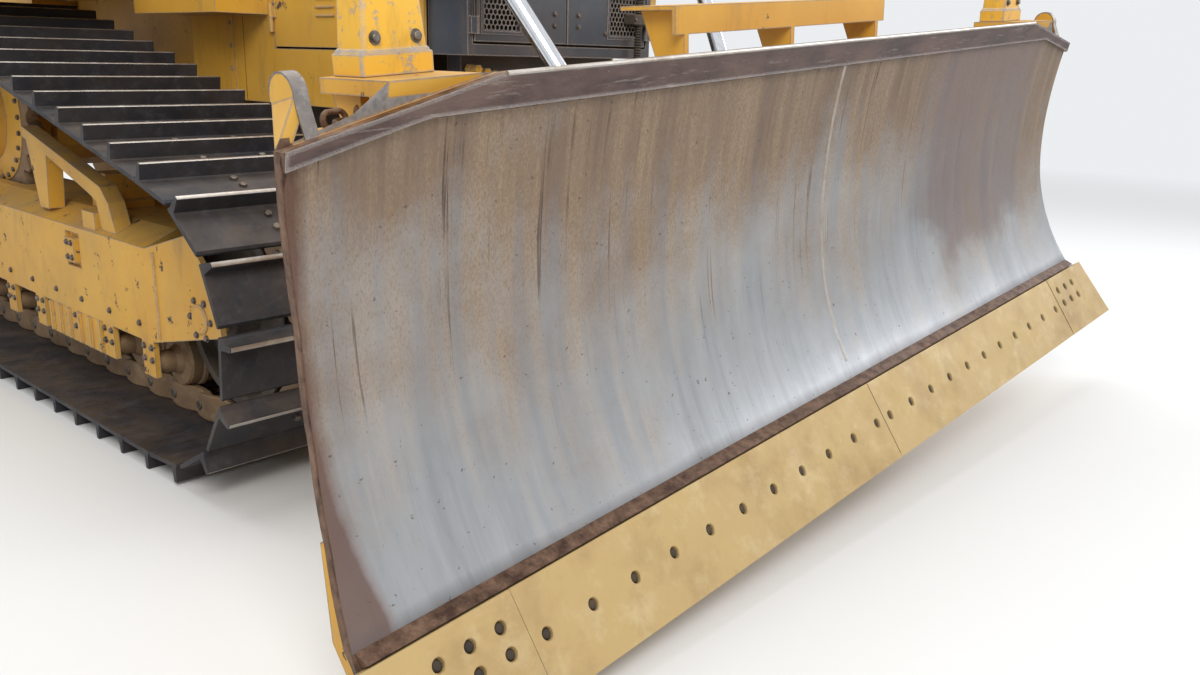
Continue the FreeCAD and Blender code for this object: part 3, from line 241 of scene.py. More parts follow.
def smoothPath(points, steps=8):
    # Catmull-Rom curve through the points
    p = np.asarray(points, float)
    p = np.vstack((2 * p[0] - p[1], p, 2 * p[-1] - p[-2]))
    t = np.linspace(0, 1, steps, endpoint=False)[:, None]
    out = [0.5 * (2 * b + (c - a) * t + (2 * a - 5 * b + 4 * c - d) * t ** 2
                  + (3 * b - a - 3 * c + d) * t ** 3)
           for a, b, c, d in zip(p[:-3], p[1:-2], p[2:-1], p[3:])]
    return np.vstack(out + [p[-2][None]])


def both(points):
    # the same points and their mirror images
    p = np.asarray(points, float)
    return np.concatenate((p, p * np.array([-1, 1, 1])))


def sideBox(row):
    x0, x1, y0, y1, z0, z1 = row
    return [row, (-x1, -x0, y0, y1, z0, z1)]


print("helpers ready")


class Wiring:
    # a short way to add and join nodes in one tree
    def __init__(self, tree):
        self.tree = tree
        self.nodes = tree.nodes

    def add(self, kind, inputs=None, **settings):
        node = self.nodes.new("ShaderNode" + kind)
        for key, value in settings.items():
            setattr(node, key, value)
        for key, value in (inputs or {}).items():
            self.put(node.inputs[key], value)
        return node

    def put(self, socket, value):
        if isinstance(value, bpy.types.NodeSocket):
            self.tree.links.new(value, socket)
        elif isinstance(value, bpy.types.Node):
            self.tree.links.new(value.outputs[0], socket)
        else:
            if hasattr(socket.default_value, "__len__") and len(value) == 3 and socket.type == "RGBA":
                value = (*value, 1)
            socket.default_value = value

    def math(self, operation, a, b=0.0, clamp=False):
        return self.add("Math", {0: a, 1: b}, operation=operation, use_clamp=clamp).outputs[0]

    def mix(self, factor, a, b, blend="MIX"):
        node = self.add("Mix", data_type="RGBA", blend_type=blend)
        for index, value in ((0, factor), (6, a), (7, b)):
            self.put(node.inputs[index], value)
        return node.outputs[2]

    def span(self, value, low, high, to=(0.0, 1.0)):
        return self.add("MapRange", {0: value, 1: low, 2: high, 3: to[0], 4: to[1]}).outputs[0]

    def noise(self, vector, scale, detail=4.0, rough=0.6, lift=0.0):
        node = self.add("TexNoise", {"Vector": vector, "Scale": scale, "Detail": detail,
                                     "Roughness": rough, "Distortion": lift})
        return node.outputs[0]

    def stretch(self, vector, scale, turn=(0, 0, 0), move=(0, 0, 0)):
        return self.add("Mapping", {"Vector": vector, "Location": move, "Rotation": turn,
                                    "Scale": scale}).outputs[0]

    def use(self, group, **inputs):
        node = self.nodes.new("ShaderNodeGroup")
        node.node_tree = group
        for key, value in inputs.items():
            self.put(node.inputs[key], value)
        return node.outputs[0]


def effectGroup(name, inputs, build):
    # a node group with one value output
    tree = bpy.data.node_groups.new(name, "ShaderNodeTree")
    for socket, kind, value in inputs:
        made = tree.interface.new_socket(name=socket, in_out="INPUT", socket_type="NodeSocket" + kind)
        if value is not None:
            made.default_value = value
    tree.interface.new_socket(name="Mask", in_out="OUTPUT", socket_type="NodeSocketFloat")
    wiring = Wiring(tree)
    source = tree.nodes.new("NodeGroupInput")
    end = tree.nodes.new("NodeGroupOutput")
    tree.links.new(build(wiring, {s.name: s for s in source.outputs if s.name}), end.inputs[0])
    return tree


def buildChips(w, s):
    # broad noise says where, fine noise gives the ragged edge
    broad = w.noise(s["Vector"], s["Scale"], 2.0, 0.5)
    fine = w.noise(s["Vector"], w.math("MULTIPLY", s["Scale"], 7.0), 5.0, 0.7)
    both = w.math("ADD", w.math("MULTIPLY", broad, 0.62), w.math("MULTIPLY", fine, 0.38))
    limit = w.math("SUBTRACT", 0.72, w.math("MULTIPLY", s["Amount"], 0.25))
    return w.math("MULTIPLY", w.math("SUBTRACT", both, limit), 40.0, clamp=True)


def buildEdges(w, s):
    # how far a rounded normal leans from the true one, broken up by noise
    rounded = w.add("Bevel", {"Radius": s["Width"]}, samples=4).outputs[0]
    true = w.add("NewGeometry").outputs["True Normal"]
    lean = w.add("VectorMath", {0: rounded, 1: true}, operation="DOT_PRODUCT").outputs["Value"]
    edge = w.span(lean, 0.995, 0.93)
    grain = w.noise(s["Vector"], 38.0, 5.0, 0.7)
    cut = w.math("SUBTRACT", w.math("ADD", edge, grain), w.math("SUBTRACT", 1.32, s["Amount"]))
    return w.math("MULTIPLY", cut, 9.0, clamp=True)


def buildDust(w, s):
    # settles on faces that look up, in clouds
    up = w.add("SeparateXYZ", {0: w.add("NewGeometry").outputs["True Normal"]}).outputs[2]
    cloud = w.noise(s["Vector"], s["Scale"], 6.0, 0.65)
    lying = w.span(up, -0.2, 0.9, (0.35, 1.0))
    amount = w.math("MULTIPLY", lying, s["Amount"])
    return w.math("MULTIPLY", amount, w.span(cloud, 0.32, 0.68), clamp=True)


def buildScratches(w, s):
    # thin bright lines along X of the given vector
    fine = w.noise(w.stretch(s["Vector"], (1.5, 60.0, 60.0)), s["Scale"], 3.0, 0.6)
    place = w.noise(s["Vector"], 3.0, 3.0, 0.5)
    line = w.math("MULTIPLY", w.math("SUBTRACT", fine, 0.63), 26.0, clamp=True)
    return w.math("MULTIPLY", line, w.math("MULTIPLY", w.span(place, 0.45, 0.62), s["Amount"]), clamp=True)


vectorIn = ("Vector", "Vector", None)
chipsGroup = effectGroup("chips", [vectorIn, ("Scale", "Float", 6.0), ("Amount", "Float", 0.3)], buildChips)
edgesGroup = effectGroup("edgeWear", [vectorIn, ("Width", "Float", 0.006), ("Amount", "Float", 0.4)], buildEdges)
dustGroup = effectGroup("dust", [vectorIn, ("Scale", "Float", 3.0), ("Amount", "Float", 0.4)], buildDust)
scratchGroup = effectGroup("scratches", [vectorIn, ("Scale", "Float", 2.0), ("Amount", "Float", 0.5)], buildScratches)


def startMaterial(name, source="Object"):
    material = bpy.data.materials.new(name)
    material.use_nodes = True
    material.node_tree.nodes.clear()
    w = Wiring(material.node_tree)
    shader = w.add("BsdfPrincipled")
    out = w.add("OutputMaterial")
    w.put(out.inputs[0], shader.outputs[0])
    place = w.add("TexCoord").outputs[source]
    return material, w, shader, place


def bumpFrom(w, shader, height, distance, strength=1.0):
    bump = w.add("Bump", {"Height": height, "Distance": distance, "Strength": strength})
    w.put(shader.inputs["Normal"], bump.outputs[0])


# colours in linear light, read from the photograph
tone = {
    "yellow": (0.62, 0.30, 0.010), "yellowPale": (0.70, 0.40, 0.05), "primer": (0.055, 0.045, 0.045),
    "dust": (0.36, 0.235, 0.115), "mud": (0.16, 0.095, 0.05), "slate": (0.018, 0.026, 0.042),
    "slatePale": (0.055, 0.065, 0.085), "rust": (0.17, 0.075, 0.035), "steel": (0.42, 0.40, 0.38),
    "shoe": (0.012, 0.013, 0.018), "shoePale": (0.05, 0.052, 0.065), "bright": (0.62, 0.60, 0.58),
}


def paintMaterial(name, main, pale, chip, dustAmount, chipAmount, edgeAmount=0.35, chipScale=7.0, rough=0.45):
    material, w, shader, place = startMaterial(name)
    cloud = w.noise(place, 1.7, 5.0, 0.6)
    colour = w.mix(w.span(cloud, 0.3, 0.7), main, pale)
    grime = w.noise(w.stretch(place, (1.0, 1.0, 0.25)), 9.0, 6.0, 0.7)
    colour = w.mix(w.span(grime, 0.56, 0.78, (0.0, 0.5)), colour, tone["mud"])
    dust = w.use(dustGroup, Vector=place, Scale=2.6, Amount=dustAmount)
    colour = w.mix(dust, colour, tone["dust"])
    chips = w.use(chipsGroup, Vector=place, Scale=chipScale, Amount=chipAmount)
    edges = w.use(edgesGroup, Vector=place, Width=0.007, Amount=edgeAmount)
    bare = w.math("MAXIMUM", chips, edges)
    steel = w.mix(w.noise(place, 60.0, 3.0), chip, tone["steel"])
    colour = w.mix(bare, colour, w.mix(edges, chip, steel))
    w.put(shader.inputs["Base Color"], colour)
    dull = w.math("MAXIMUM", w.math("MULTIPLY", dust, 0.85), bare)
    w.put(shader.inputs["Roughness"], w.span(dull, 0.0, 1.0, (rough, 0.82)))
    peel = w.math("MULTIPLY", w.noise(place, 160.0, 2.0), 0.10)
    bumpFrom(w, shader, w.math("SUBTRACT", peel, w.math("MULTIPLY", bare, 0.5)), 0.0012, 0.7)
    shader.inputs["IOR"].default_value = 1.45
    return material


yellowPaint = paintMaterial("yellowPaint", tone["yellow"], tone["yellowPale"], tone["primer"], 0.45, 0.30)
yellowDusty = paintMaterial("yellowDusty", tone["yellow"], tone["yellowPale"], tone["primer"], 0.95, 0.38, 0.5, 19.0)
yellowFresh = paintMaterial("yellowFresh", (0.80, 0.42, 0.012), tone["yellow"], tone["steel"], 0.22, 0.22, 0.45)
darkPaint = paintMaterial("darkPaint", tone["slate"], tone["slatePale"], tone["mud"], 0.30, 0.12, 0.25, 6.0, 0.33)
blackPaint = paintMaterial("blackPaint", (0.012, 0.012, 0.013), (0.022, 0.022, 0.024), tone["mud"], 0.25, 0.05, 0.1)


def steelMaterial(name, dark, mid, pale, rough=(0.32, 0.62), metal=0.85, dustAmount=0.2, grain=24.0):
    material, w, shader, place = startMaterial(name)
    cloud = w.noise(place, 4.0, 6.0, 0.65)
    colour = w.mix(w.span(cloud, 0.30, 0.52), dark, mid)
    colour = w.mix(w.span(w.noise(place, grain, 5.0, 0.7), 0.52, 0.72, (0.0, 0.7)), colour, pale)
    dust = w.use(dustGroup, Vector=place, Scale=5.0, Amount=dustAmount)
    colour = w.mix(dust, colour, tone["dust"])
    w.put(shader.inputs["Base Color"], colour)
    w.put(shader.inputs["Roughness"], w.span(w.noise(place, 12.0, 4.0), 0.3, 0.7, rough))
    w.put(shader.inputs["Metallic"], w.math("MULTIPLY", w.math("SUBTRACT", 1.0, dust), metal))
    bumpFrom(w, shader, w.noise(place, grain * 3, 5.0, 0.7), 0.0016, 0.6)
    return material


shoeSteel = steelMaterial("shoeSteel", tone["shoe"], (0.02, 0.022, 0.03), tone["shoePale"], (0.42, 0.7), 0.35, 0.18)
wornLine = steelMaterial("wornLine", (0.30, 0.24, 0.19), (0.46, 0.42, 0.38), tone["bright"], (0.3, 0.5), 0.8, 0.05)
chainSteel = steelMaterial("chainSteel", (0.10, 0.06, 0.035), (0.20, 0.125, 0.07), (0.34, 0.27, 0.18), (0.5, 0.8), 0.3, 0.75)
rustySteel = steelMaterial("rustySteel", (0.06, 0.028, 0.016), tone["rust"], (0.30, 0.22, 0.17), (0.5, 0.85), 0.3, 0.3)
boltSteel = steelMaterial("boltSteel", (0.05, 0.045, 0.042), (0.13, 0.11, 0.10), (0.32, 0.29, 0.26), (0.35, 0.6), 0.7, 0.25)
edgeSteel = steelMaterial("edgeSteel", (0.34, 0.225, 0.090), (0.46, 0.325, 0.135), (0.56, 0.44, 0.25), (0.40, 0.7), 0.2, 0.35, 9.0)
castIron = steelMaterial("castIron", (0.02, 0.018, 0.018), (0.05, 0.045, 0.04), (0.12, 0.10, 0.09), (0.5, 0.8), 0.4, 0.4)


def chromeFinish():
    material, w, shader, place = startMaterial("chromeRod")
    wipe = w.noise(w.stretch(place, (40.0, 4.0, 4.0)), 3.0, 3.0)
    w.put(shader.inputs["Base Color"], w.mix(w.span(wipe, 0.45, 0.75, (0.0, 0.4)), (0.78, 0.80, 0.84), (0.45, 0.44, 0.42)))
    w.put(shader.inputs["Roughness"], w.span(wipe, 0.3, 0.8, (0.06, 0.16)))
    shader.inputs["Metallic"].default_value = 1.0
    return material


def glassFinish():
    material, w, shader, place = startMaterial("cabPane")
    smear = w.noise(place, 5.0, 4.0)
    w.put(shader.inputs["Base Color"], w.mix(smear, (0.72, 0.80, 0.79), (0.80, 0.84, 0.83)))
    w.put(shader.inputs["Roughness"], w.span(smear, 0.4, 0.8, (0.02, 0.09)))
    shader.inputs["Transmission Weight"].default_value = 0.92
    shader.inputs["IOR"].default_value = 1.3
    return material


def mouldedFinish(name, colour, rough, grain=180.0):
    material, w, shader, place = startMaterial(name)
    cloud = w.noise(place, 6.0, 4.0)
    pale = tuple(c * 1.7 + 0.006 for c in colour)
    tint = w.mix(w.span(cloud, 0.35, 0.75), colour, pale)
    dust = w.use(dustGroup, Vector=place, Scale=4.0, Amount=0.25)
    w.put(shader.inputs["Base Color"], w.mix(dust, tint, tone["dust"]))
    w.put(shader.inputs["Roughness"], w.span(cloud, 0.3, 0.7, (rough - 0.08, rough + 0.1)))
    bumpFrom(w, shader, w.noise(place, grain, 3.0), 0.0006, 0.7)
    return material


def clothFinish():
    # two crossed waves for the weave, on the piece's own place
    material, w, shader, place = startMaterial("seatCloth")
    warp = w.add("TexWave", {"Vector": place, "Scale": 160.0, "Distortion": 0.6}, bands_direction="X")
    weft = w.add("TexWave", {"Vector": place, "Scale": 160.0, "Distortion": 0.6}, bands_direction="Z")
    weave = w.math("MULTIPLY", warp.outputs["Fac"], weft.outputs["Fac"])
    worn = w.noise(place, 4.0, 4.0)
    colour = w.mix(weave, (0.012, 0.012, 0.014), (0.055, 0.055, 0.062))
    w.put(shader.inputs["Base Color"], w.mix(w.span(worn, 0.5, 0.8, (0.0, 0.4)), colour, (0.11, 0.10, 0.09)))
    w.put(shader.inputs["Roughness"], w.span(worn, 0.3, 0.7, (0.78, 0.94)))
    shader.inputs["Sheen Weight"].default_value = 0.25
    bumpFrom(w, shader, weave, 0.0008)
    return material


chromeRod = chromeFinish()
cabPane = glassFinish()
seatCloth = clothFinish()
blackPlastic = mouldedFinish("blackPlastic", (0.014, 0.014, 0.015), 0.55)
blackRubber = mouldedFinish("blackRubber", (0.010, 0.010, 0.010), 0.72, 90.0)
lampLens = mouldedFinish("lampLens", (0.42, 0.44, 0.46), 0.22, 60.0)
# near-black: painted shade in bolt holes, exhaust slots and bowl vents, and the dark of joints, seams and the radiator
# core
darkHole = mouldedFinish("darkHole", (0.006, 0.005, 0.005), 0.85)


def bladeLocal(w, place):
    # turns the parked blade level and puts its bolt line at zero: x along, y back, z up
    turn = w.add("VectorRotate", {"Vector": place, "Center": (0, 0, machine["pivot"][1]),
                                  "Axis": (0, 1, 0), "Angle": machine["tilt"]}, rotation_type="AXIS_ANGLE")
    level = w.add("VectorMath", {0: turn.outputs[0], 1: (0, machine["shift"] + blade["y"], blade["z"])},
                  operation="SUBTRACT").outputs[0]
    return level, w.add("SeparateXYZ", {0: level}).outputs


def bladeFaceFinish():
    # scoured steel: a coat of rust grains that thins downwards, thin dark runs, polish below
    material, w, shader, place = startMaterial("bladeFace")
    level, axes = bladeLocal(w, place)
    x, z = axes[0], axes[2]
    cloud = w.noise(level, 1.9, 5.0, 0.6)
    runs = w.noise(w.stretch(level, (7.0, 1.0, 0.5)), 2.2, 7.0, 0.7, 0.15)
    grain = w.noise(w.stretch(level, (1.0, 1.0, 0.45)), 210.0, 5.0, 0.8)
    height = w.math("ADD", w.span(z, 0.12, 1.05), w.math("MULTIPLY", w.math("SUBTRACT", cloud, 0.5), 1.5))
    height = w.math("ADD", height, w.math("MULTIPLY", w.math("SUBTRACT", runs, 0.5), 0.9))
    coat = w.span(height, 0.12, 0.85)
    rust = w.math("MULTIPLY", w.math("SUBTRACT", grain, w.span(coat, 0.0, 1.0, (0.66, 0.40))), 6.0, clamp=True)
    polished = w.mix(w.span(runs, 0.3, 0.7), (0.33, 0.335, 0.345), (0.47, 0.475, 0.485))
    tan = w.mix(w.span(runs, 0.34, 0.64), (0.115, 0.062, 0.030), (0.285, 0.195, 0.108))
    colour = w.mix(w.math("MULTIPLY", coat, 0.88), polished, tan)
    colour = w.mix(w.math("MULTIPLY", rust, 0.55), colour, w.mix(cloud, (0.10, 0.052, 0.028), (0.21, 0.135, 0.083)))
    thin = w.noise(w.stretch(level, (42.0, 1.0, 0.8)), 2.0, 4.0, 0.6)
    lines = w.math("MULTIPLY", w.math("SUBTRACT", thin, 0.615), 16.0, clamp=True)
    lines = w.math("MULTIPLY", lines, w.span(w.noise(level, 3.4, 3.0), 0.42, 0.58), clamp=True)
    colour = w.mix(w.math("MULTIPLY", w.math("MULTIPLY", lines, w.span(z, 0.2, 0.8, (0.15, 0.85))), 0.9), colour,
                   (0.045, 0.022, 0.014))
    pits = w.math("MULTIPLY", w.math("SUBTRACT", w.noise(level, 60.0, 2.0, 0.6), 0.70), 30.0, clamp=True)
    colour = w.mix(w.math("MULTIPLY", pits, 0.6), colour, (0.05, 0.03, 0.022))
    # painted reflection: the far upper part of the face turned a cooler grey
    paintedFarReflection = w.math("MULTIPLY", w.span(x, 0.55, 0.80), w.span(w.math("ADD", z, w.math("MULTIPLY", cloud, 0.5)), 0.62, 0.72),
                   clamp=True)
    paintedFarReflection = w.math("MULTIPLY", paintedFarReflection, w.span(x, 1.80, 1.55), clamp=True)
    colour = w.mix(w.math("MULTIPLY", paintedFarReflection, 0.62), colour, (0.175, 0.130, 0.125))
    wander = w.math("MULTIPLY", w.math("SUBTRACT", w.noise(level, 4.0, 5.0), 0.5), 0.05)
    reach = w.math("ADD", w.math("SUBTRACT", w.span(z, 0.1, 0.5, (-1.880, -1.915)), x), wander)
    band = w.span(reach, -0.012, 0.02)
    colour = w.mix(w.math("MULTIPLY", band, 0.85), colour, (0.085, 0.034, 0.020))
    foot = w.span(w.math("ADD", z, w.math("MULTIPLY", cloud, 0.05)), 0.175, 0.135)
    colour = w.mix(w.math("MULTIPLY", foot, 0.75), colour, (0.085, 0.070, 0.068))
    w.put(shader.inputs["Base Color"], colour)
    matt = w.math("MAXIMUM", w.math("MULTIPLY", coat, 0.6), w.math("MAXIMUM", rust, band))
    w.put(shader.inputs["Metallic"], w.span(matt, 0.0, 0.8, (0.92, 0.15)))
    w.put(shader.inputs["Roughness"], w.span(w.math("ADD", matt, grain), 0.4, 1.5, (0.28, 0.66)))
    dents = w.math("ADD", w.math("MULTIPLY", w.noise(level, 5.0, 3.0), 1.0), w.math("MULTIPLY", grain, 0.10))
    scores = w.math("MULTIPLY", w.noise(w.stretch(level, (40.0, 1.0, 1.2)), 2.0, 3.0), 0.10)
    bumpFrom(w, shader, w.math("ADD", dents, scores), 0.004, 0.5)
    return material


def bladeStripFinish():
    # dark scuffed strip with a bright rim
    material, w, shader, place = startMaterial("bladeStrip")
    level, axes = bladeLocal(w, place)
    cloud = w.noise(w.stretch(level, (1.0, 1.0, 3.0)), 4.5, 6.0, 0.68)
    scuff = w.noise(w.stretch(level, (0.5, 1.0, 5.0)), 14.0, 5.0, 0.72)
    colour = w.mix(w.span(cloud, 0.35, 0.62), (0.045, 0.025, 0.024), (0.135, 0.085, 0.072))
    colour = w.mix(w.span(scuff, 0.56, 0.70, (0.0, 0.75)), colour, (0.33, 0.28, 0.25))
    edges = w.use(edgesGroup, Vector=place, Width=0.012, Amount=0.6)
    colour = w.mix(edges, colour, (0.58, 0.55, 0.52))
    w.put(shader.inputs["Base Color"], colour)
    w.put(shader.inputs["Metallic"], w.span(scuff, 0.5, 0.7, (0.25, 0.8)))
    w.put(shader.inputs["Roughness"], w.span(cloud, 0.3, 0.7, (0.36, 0.6)))
    bumpFrom(w, shader, w.math("ADD", cloud, scuff), 0.003, 0.6)
    return material


def boardFinish():
    # the blade's plate is bare rusty steel within its own thickness and painted behind it:
    # distance outside the face's arcs tells the two apart
    material = paintMaterial("boardPaint", tone["yellow"], tone["yellowPale"], tone["primer"], 0.8, 0.4, 0.5, 9.0)
    w = Wiring(material.node_tree)
    shader = next(n for n in w.nodes if n.type == "BSDF_PRINCIPLED")
    place = next(n for n in w.nodes if n.type == "TEX_COORD").outputs["Object"]
    level, axes = bladeLocal(w, place)
    y, z = axes[1], axes[2]

    def outside(centre, radius):
        a, b = w.math("SUBTRACT", y, centre), w.math("SUBTRACT", z, uprightZ)
        squares = w.math("ADD", w.math("MULTIPLY", a, a), w.math("MULTIPLY", b, b))
        return w.math("SUBTRACT", w.math("SQRT", squares), radius)

    upper = w.math("GREATER_THAN", z, uprightZ)
    depth = w.math("ADD", w.math("MULTIPLY", outside(upperY, blade["upperArc"]), upper),
                   w.math("MULTIPLY", outside(lowerY, blade["lowerArc"]), w.math("SUBTRACT", 1.0, upper)))
    flat = w.math("ADD", w.math("MULTIPLY", y, blade["inward"][0]), w.math("MULTIPLY", z, blade["inward"][1]))
    low = w.math("LESS_THAN", z, 0.12)
    depth = w.math("ADD", w.math("MULTIPLY", depth, w.math("SUBTRACT", 1.0, low)),
                   w.math("MULTIPLY", w.math("SUBTRACT", flat, blade["backing"]), low))
    bare = w.span(w.math("ADD", depth, w.math("MULTIPLY", w.noise(place, 30.0, 4.0), 0.003)), 0.0165, 0.0150)
    scuffed = w.noise(w.stretch(level, (1.0, 1.0, 0.6)), 26.0, 6.0, 0.7)
    steel = w.mix(w.span(scuffed, 0.36, 0.66), (0.055, 0.026, 0.016), (0.21, 0.125, 0.08))
    rim = w.math("GREATER_THAN", w.math("ABSOLUTE", axes[0]), board["endBare"])
    bare = w.math("MAXIMUM", bare, w.math("MULTIPLY", rim, w.math("LESS_THAN", depth, 0.030)))
    painted = shader.inputs["Base Color"].links[0].from_socket
    w.put(shader.inputs["Base Color"], w.mix(bare, painted, steel))
    w.put(shader.inputs["Metallic"], w.math("MULTIPLY", bare, 0.35))
    return material


bladeFace = bladeFaceFinish()
bladeStrip = bladeStripFinish()
boardPaint = boardFinish()
print("materials ready")


finishes = {
    "main_frame": yellowDusty, "engine_block": castIron, "radiator_guard": darkPaint, "hood": yellowPaint,
    "engine_door_left": yellowPaint, "engine_door_right": yellowPaint, "fender_left": yellowPaint, "fender_right": yellowPaint,
    "cab_shell": blackPaint, "cab_roof": yellowPaint, "cab_glass": cabPane, "console": blackPlastic, "fuel_tank": yellowPaint, "drawbar": yellowDusty,
    "track_frame_left": yellowDusty, "track_frame_right": yellowDusty, "equalizer_bar": yellowDusty,
    "lift_brackets": yellowDusty, "c_frame": yellowDusty, "blade_yoke": yellowDusty,
    "blade_hub": yellowDusty, "blade_guard": yellowPaint,
}
for nodeName, finish in finishes.items():
    mesh = nodeObjects[nodeName].data
    if not mesh.materials:
        mesh.materials.append(finish)
    for index in range(len(mesh.materials)):
        mesh.materials[index] = finish
print("frame dressed")


face = {"columns": 120, "rows": 46, "proud": 0.0016, "back": 0.0004, "edgeInset": 0.003}


def bladeSheet(name, low, high, proud, back, columns, rows, material, halfAt, depth=0.0):
    # rows follow the face's section between two heights, columns its narrowing outline
    t = np.linspace(-1, 1, columns)
    wide = np.abs(t) * blade["halfTop"] if callable(low) else np.abs(t) * 2.0
    lowZ = low(wide) if callable(low) else np.full(columns, low)
    highZ = high(wide) if callable(high) else np.full(columns, high)
    v = np.linspace(0, 1, rows)
    z = lowZ[:, None] + (highZ - lowZ)[:, None] * v[None]
    x = t[:, None] * halfAt(z)
    front = np.stack((x, faceY(z, depth) - proud, z), -1)
    behind = np.stack((x, faceY(z, depth) - back, z), -1)[:, ::-1]
    rings = parkBlade(np.concatenate((front, behind), 1))
    return ringSolids(name, rings, material, "blade", "blade_steel", smooth=40, bevel=None)


def makeBoard():
    # the board's own solid with its rim drawn to the real outline: heights near the top and the
    # ends' reach change, and the depth behind the face stays
    source = nodeObjects["moldboard"].data
    p = np.empty(len(source.vertices) * 3, np.float32)
    source.vertices.foreach_get("co", p)
    x, y, z = levelBlade(p.reshape(-1, 3).astype(float)).T
    behind = y - faceY(z, 0.0)
    shelf = (np.abs(np.abs(x) - 1.600) < 0.125) & (z > 1.17) & (z < 1.207) & (behind > 0.008)
    rim = (np.abs(behind) < 0.0235) & ~shelf & ((z > 1.0) | (np.abs(x) > 1.5))
    newZ = np.where(rim, np.interp(z, board["from"], board["to"]), z)
    reach = halfWidth(newZ) / np.interp(z, [-0.06, 1.125, 1.29], [2.008, 1.90, 1.54])
    newX = np.where(rim & (np.abs(x) > 1.5), x * reach, x)
    newY = np.where(rim, faceY(newZ, 0.0) + behind, y)
    piece = makeObject("bladeBoard", parkBlade(np.stack((newX, newY, newZ), -1)), [tuple(f.vertices) for f in source.polygons],
                       boardPaint, "blade", "blade_steel", smooth=25)
    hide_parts("moldboard")


makeBoard()
blade["halfTop"] = 1.960
faceSheet = bladeSheet("bladeFaceSheet", 0.118, 1.199, face["proud"], face["back"], face["columns"],
                       face["rows"], bladeFace, lambda z: halfWidth(z) - face["edgeInset"])


def stripLow(x):
    return np.interp(x, [1.640, 1.960], [1.129, 1.0635])


def stripHigh(x):
    return np.interp(x, [1.450, 1.960], [1.203, 1.100])


strip = {"depth": -0.014, "proud": 0.0016, "back": 0.0004, "columns": 97, "rows": 7}
stripSheet = bladeSheet("bladeStripSheet", stripLow, stripHigh, strip["proud"], strip["back"], strip["columns"],
                        strip["rows"], bladeStrip, lambda z: np.full_like(z, 1.958), strip["depth"])


def faceBead(name, x, low, high, width, height, material, steps=60):
    # a half-round bead of weld up the face, its width wavering
    z = np.linspace(low, high, steps)
    angle = np.linspace(0, 2 * math.pi, 9)[:-1]
    waver = 1 + 0.25 * np.sin(z * 140) * np.sin(z * 37)
    across = x + width / 2 * np.cos(angle)[None] * waver[:, None]
    out = faceY(z, 0)[:, None] - 0.0014 - height * np.maximum(np.sin(angle), -0.3)[None] * waver[:, None]
    rings = parkBlade(np.stack((across, out, np.broadcast_to(z[:, None], across.shape)), -1))
    return ringSolids(name, rings, material, "blade", "blade_steel", smooth=60)


faceBead("bladeCentreWeld", 0.0, 0.17, 1.127, 0.014, 0.0026, wornLine)
rimX = np.linspace(-1.445, 1.445, 60)
rim = np.stack((rimX, faceY(np.full(60, 1.201), -0.014), np.full(60, 1.2015)), -1)
sweepTube("bladeRim", parkBlade(rim), 0.0055, wornLine, "blade", "blade_steel", sides=8)
print("blade face ready")


edge = {
    "pitch": 0.1524, "end": 0.0457, "count": 11, "length": 1.615, "height": 0.265, "drop": 0.136,
    "thickness": 0.037, "hole": 0.0175, "sink": 0.0125, "skirt": 0.0150, "around": 24,
    "bitLength": 0.415, "bitToe": 0.055, "bitBorders": [1.617, 1.716, 1.7995, 2.030], "bitHoles": [1.674, 1.758, 1.841],
}


def edgeWarp(x, up, depth):
    return parkBlade(edgePoint(x, up, depth))


def bitFlare(x, up):
    # end bits widen towards their tip
    share = (edge["height"] - edge["drop"] - up) / edge["height"]
    beyond = np.maximum(np.abs(x) - edge["length"], 0) * (edge["bitToe"] / edge["bitLength"])
    return np.sign(x) * (np.abs(x) + beyond * share)


def holedPlate(name, cells, holes, front, material):
    # each (x0, x1, low, high) cell of the face has one round sunk hole: rings run from the
    # cell's skirt over its border to the hole's mouth, down the wall and over the bolt's end
    solids = []
    for (x0, x1, z0, z1), (hx, hz) in zip(cells, holes):
        even = np.arange(edge["around"]) * 2 * math.pi / edge["around"] + 0.01
        corners = np.arctan2(np.array([z1, z1, z0, z0]) - hz, np.array([x1, x0, x0, x1]) - hx)
        angle = np.sort(np.concatenate((even, corners % (2 * math.pi))))
        c, s = np.cos(angle), np.sin(angle)
        reach = np.minimum(np.where(c > 0, x1 - hx, x0 - hx) / np.where(np.abs(c) < 1e-9, 1e-9, c),
                           np.where(s > 0, z1 - hz, z0 - hz) / np.where(np.abs(s) < 1e-9, 1e-9, s))
        r = edge["hole"]
        rings = []
        for radius, depth in ((reach, edge["skirt"]), (reach, 0.0), (r, 0.0), (r * 0.88, 0.0025),
                              (r * 0.84, edge["sink"]), (r * 0.55, edge["sink"] - 0.004), (r * 0.05, edge["sink"] - 0.006)):
            radius = np.broadcast_to(radius, c.shape)
            rings.append(np.stack((hx + c * radius, hz + s * radius, np.full(len(c), front + depth)), -1))
        solids.append(np.stack(rings))
    p = np.stack(solids)
    x = bitFlare(p[..., 0], p[..., 1])
    return ringSolids(name, edgeWarp(x, p[..., 1], p[..., 2]), material, "blade", "edge_steel", smooth=35)


def edgeBlock(x0, x1, front):
    # the bar behind its holed face, its tip bevelled
    top = edge["height"] - edge["drop"]
    face = front + edge["skirt"] - 0.001
    outline = np.array([(-edge["drop"] + 0.0105, face), (top, face), (top, edge["thickness"]),
                        (-edge["drop"] + 0.026, edge["thickness"])])
    x = np.broadcast_to(np.array([x0, x1])[:, None], (2, 4))
    up = np.broadcast_to(outline[None, :, 0], x.shape)
    return edgeWarp(bitFlare(x, up), up, np.broadcast_to(outline[None, :, 1], x.shape))


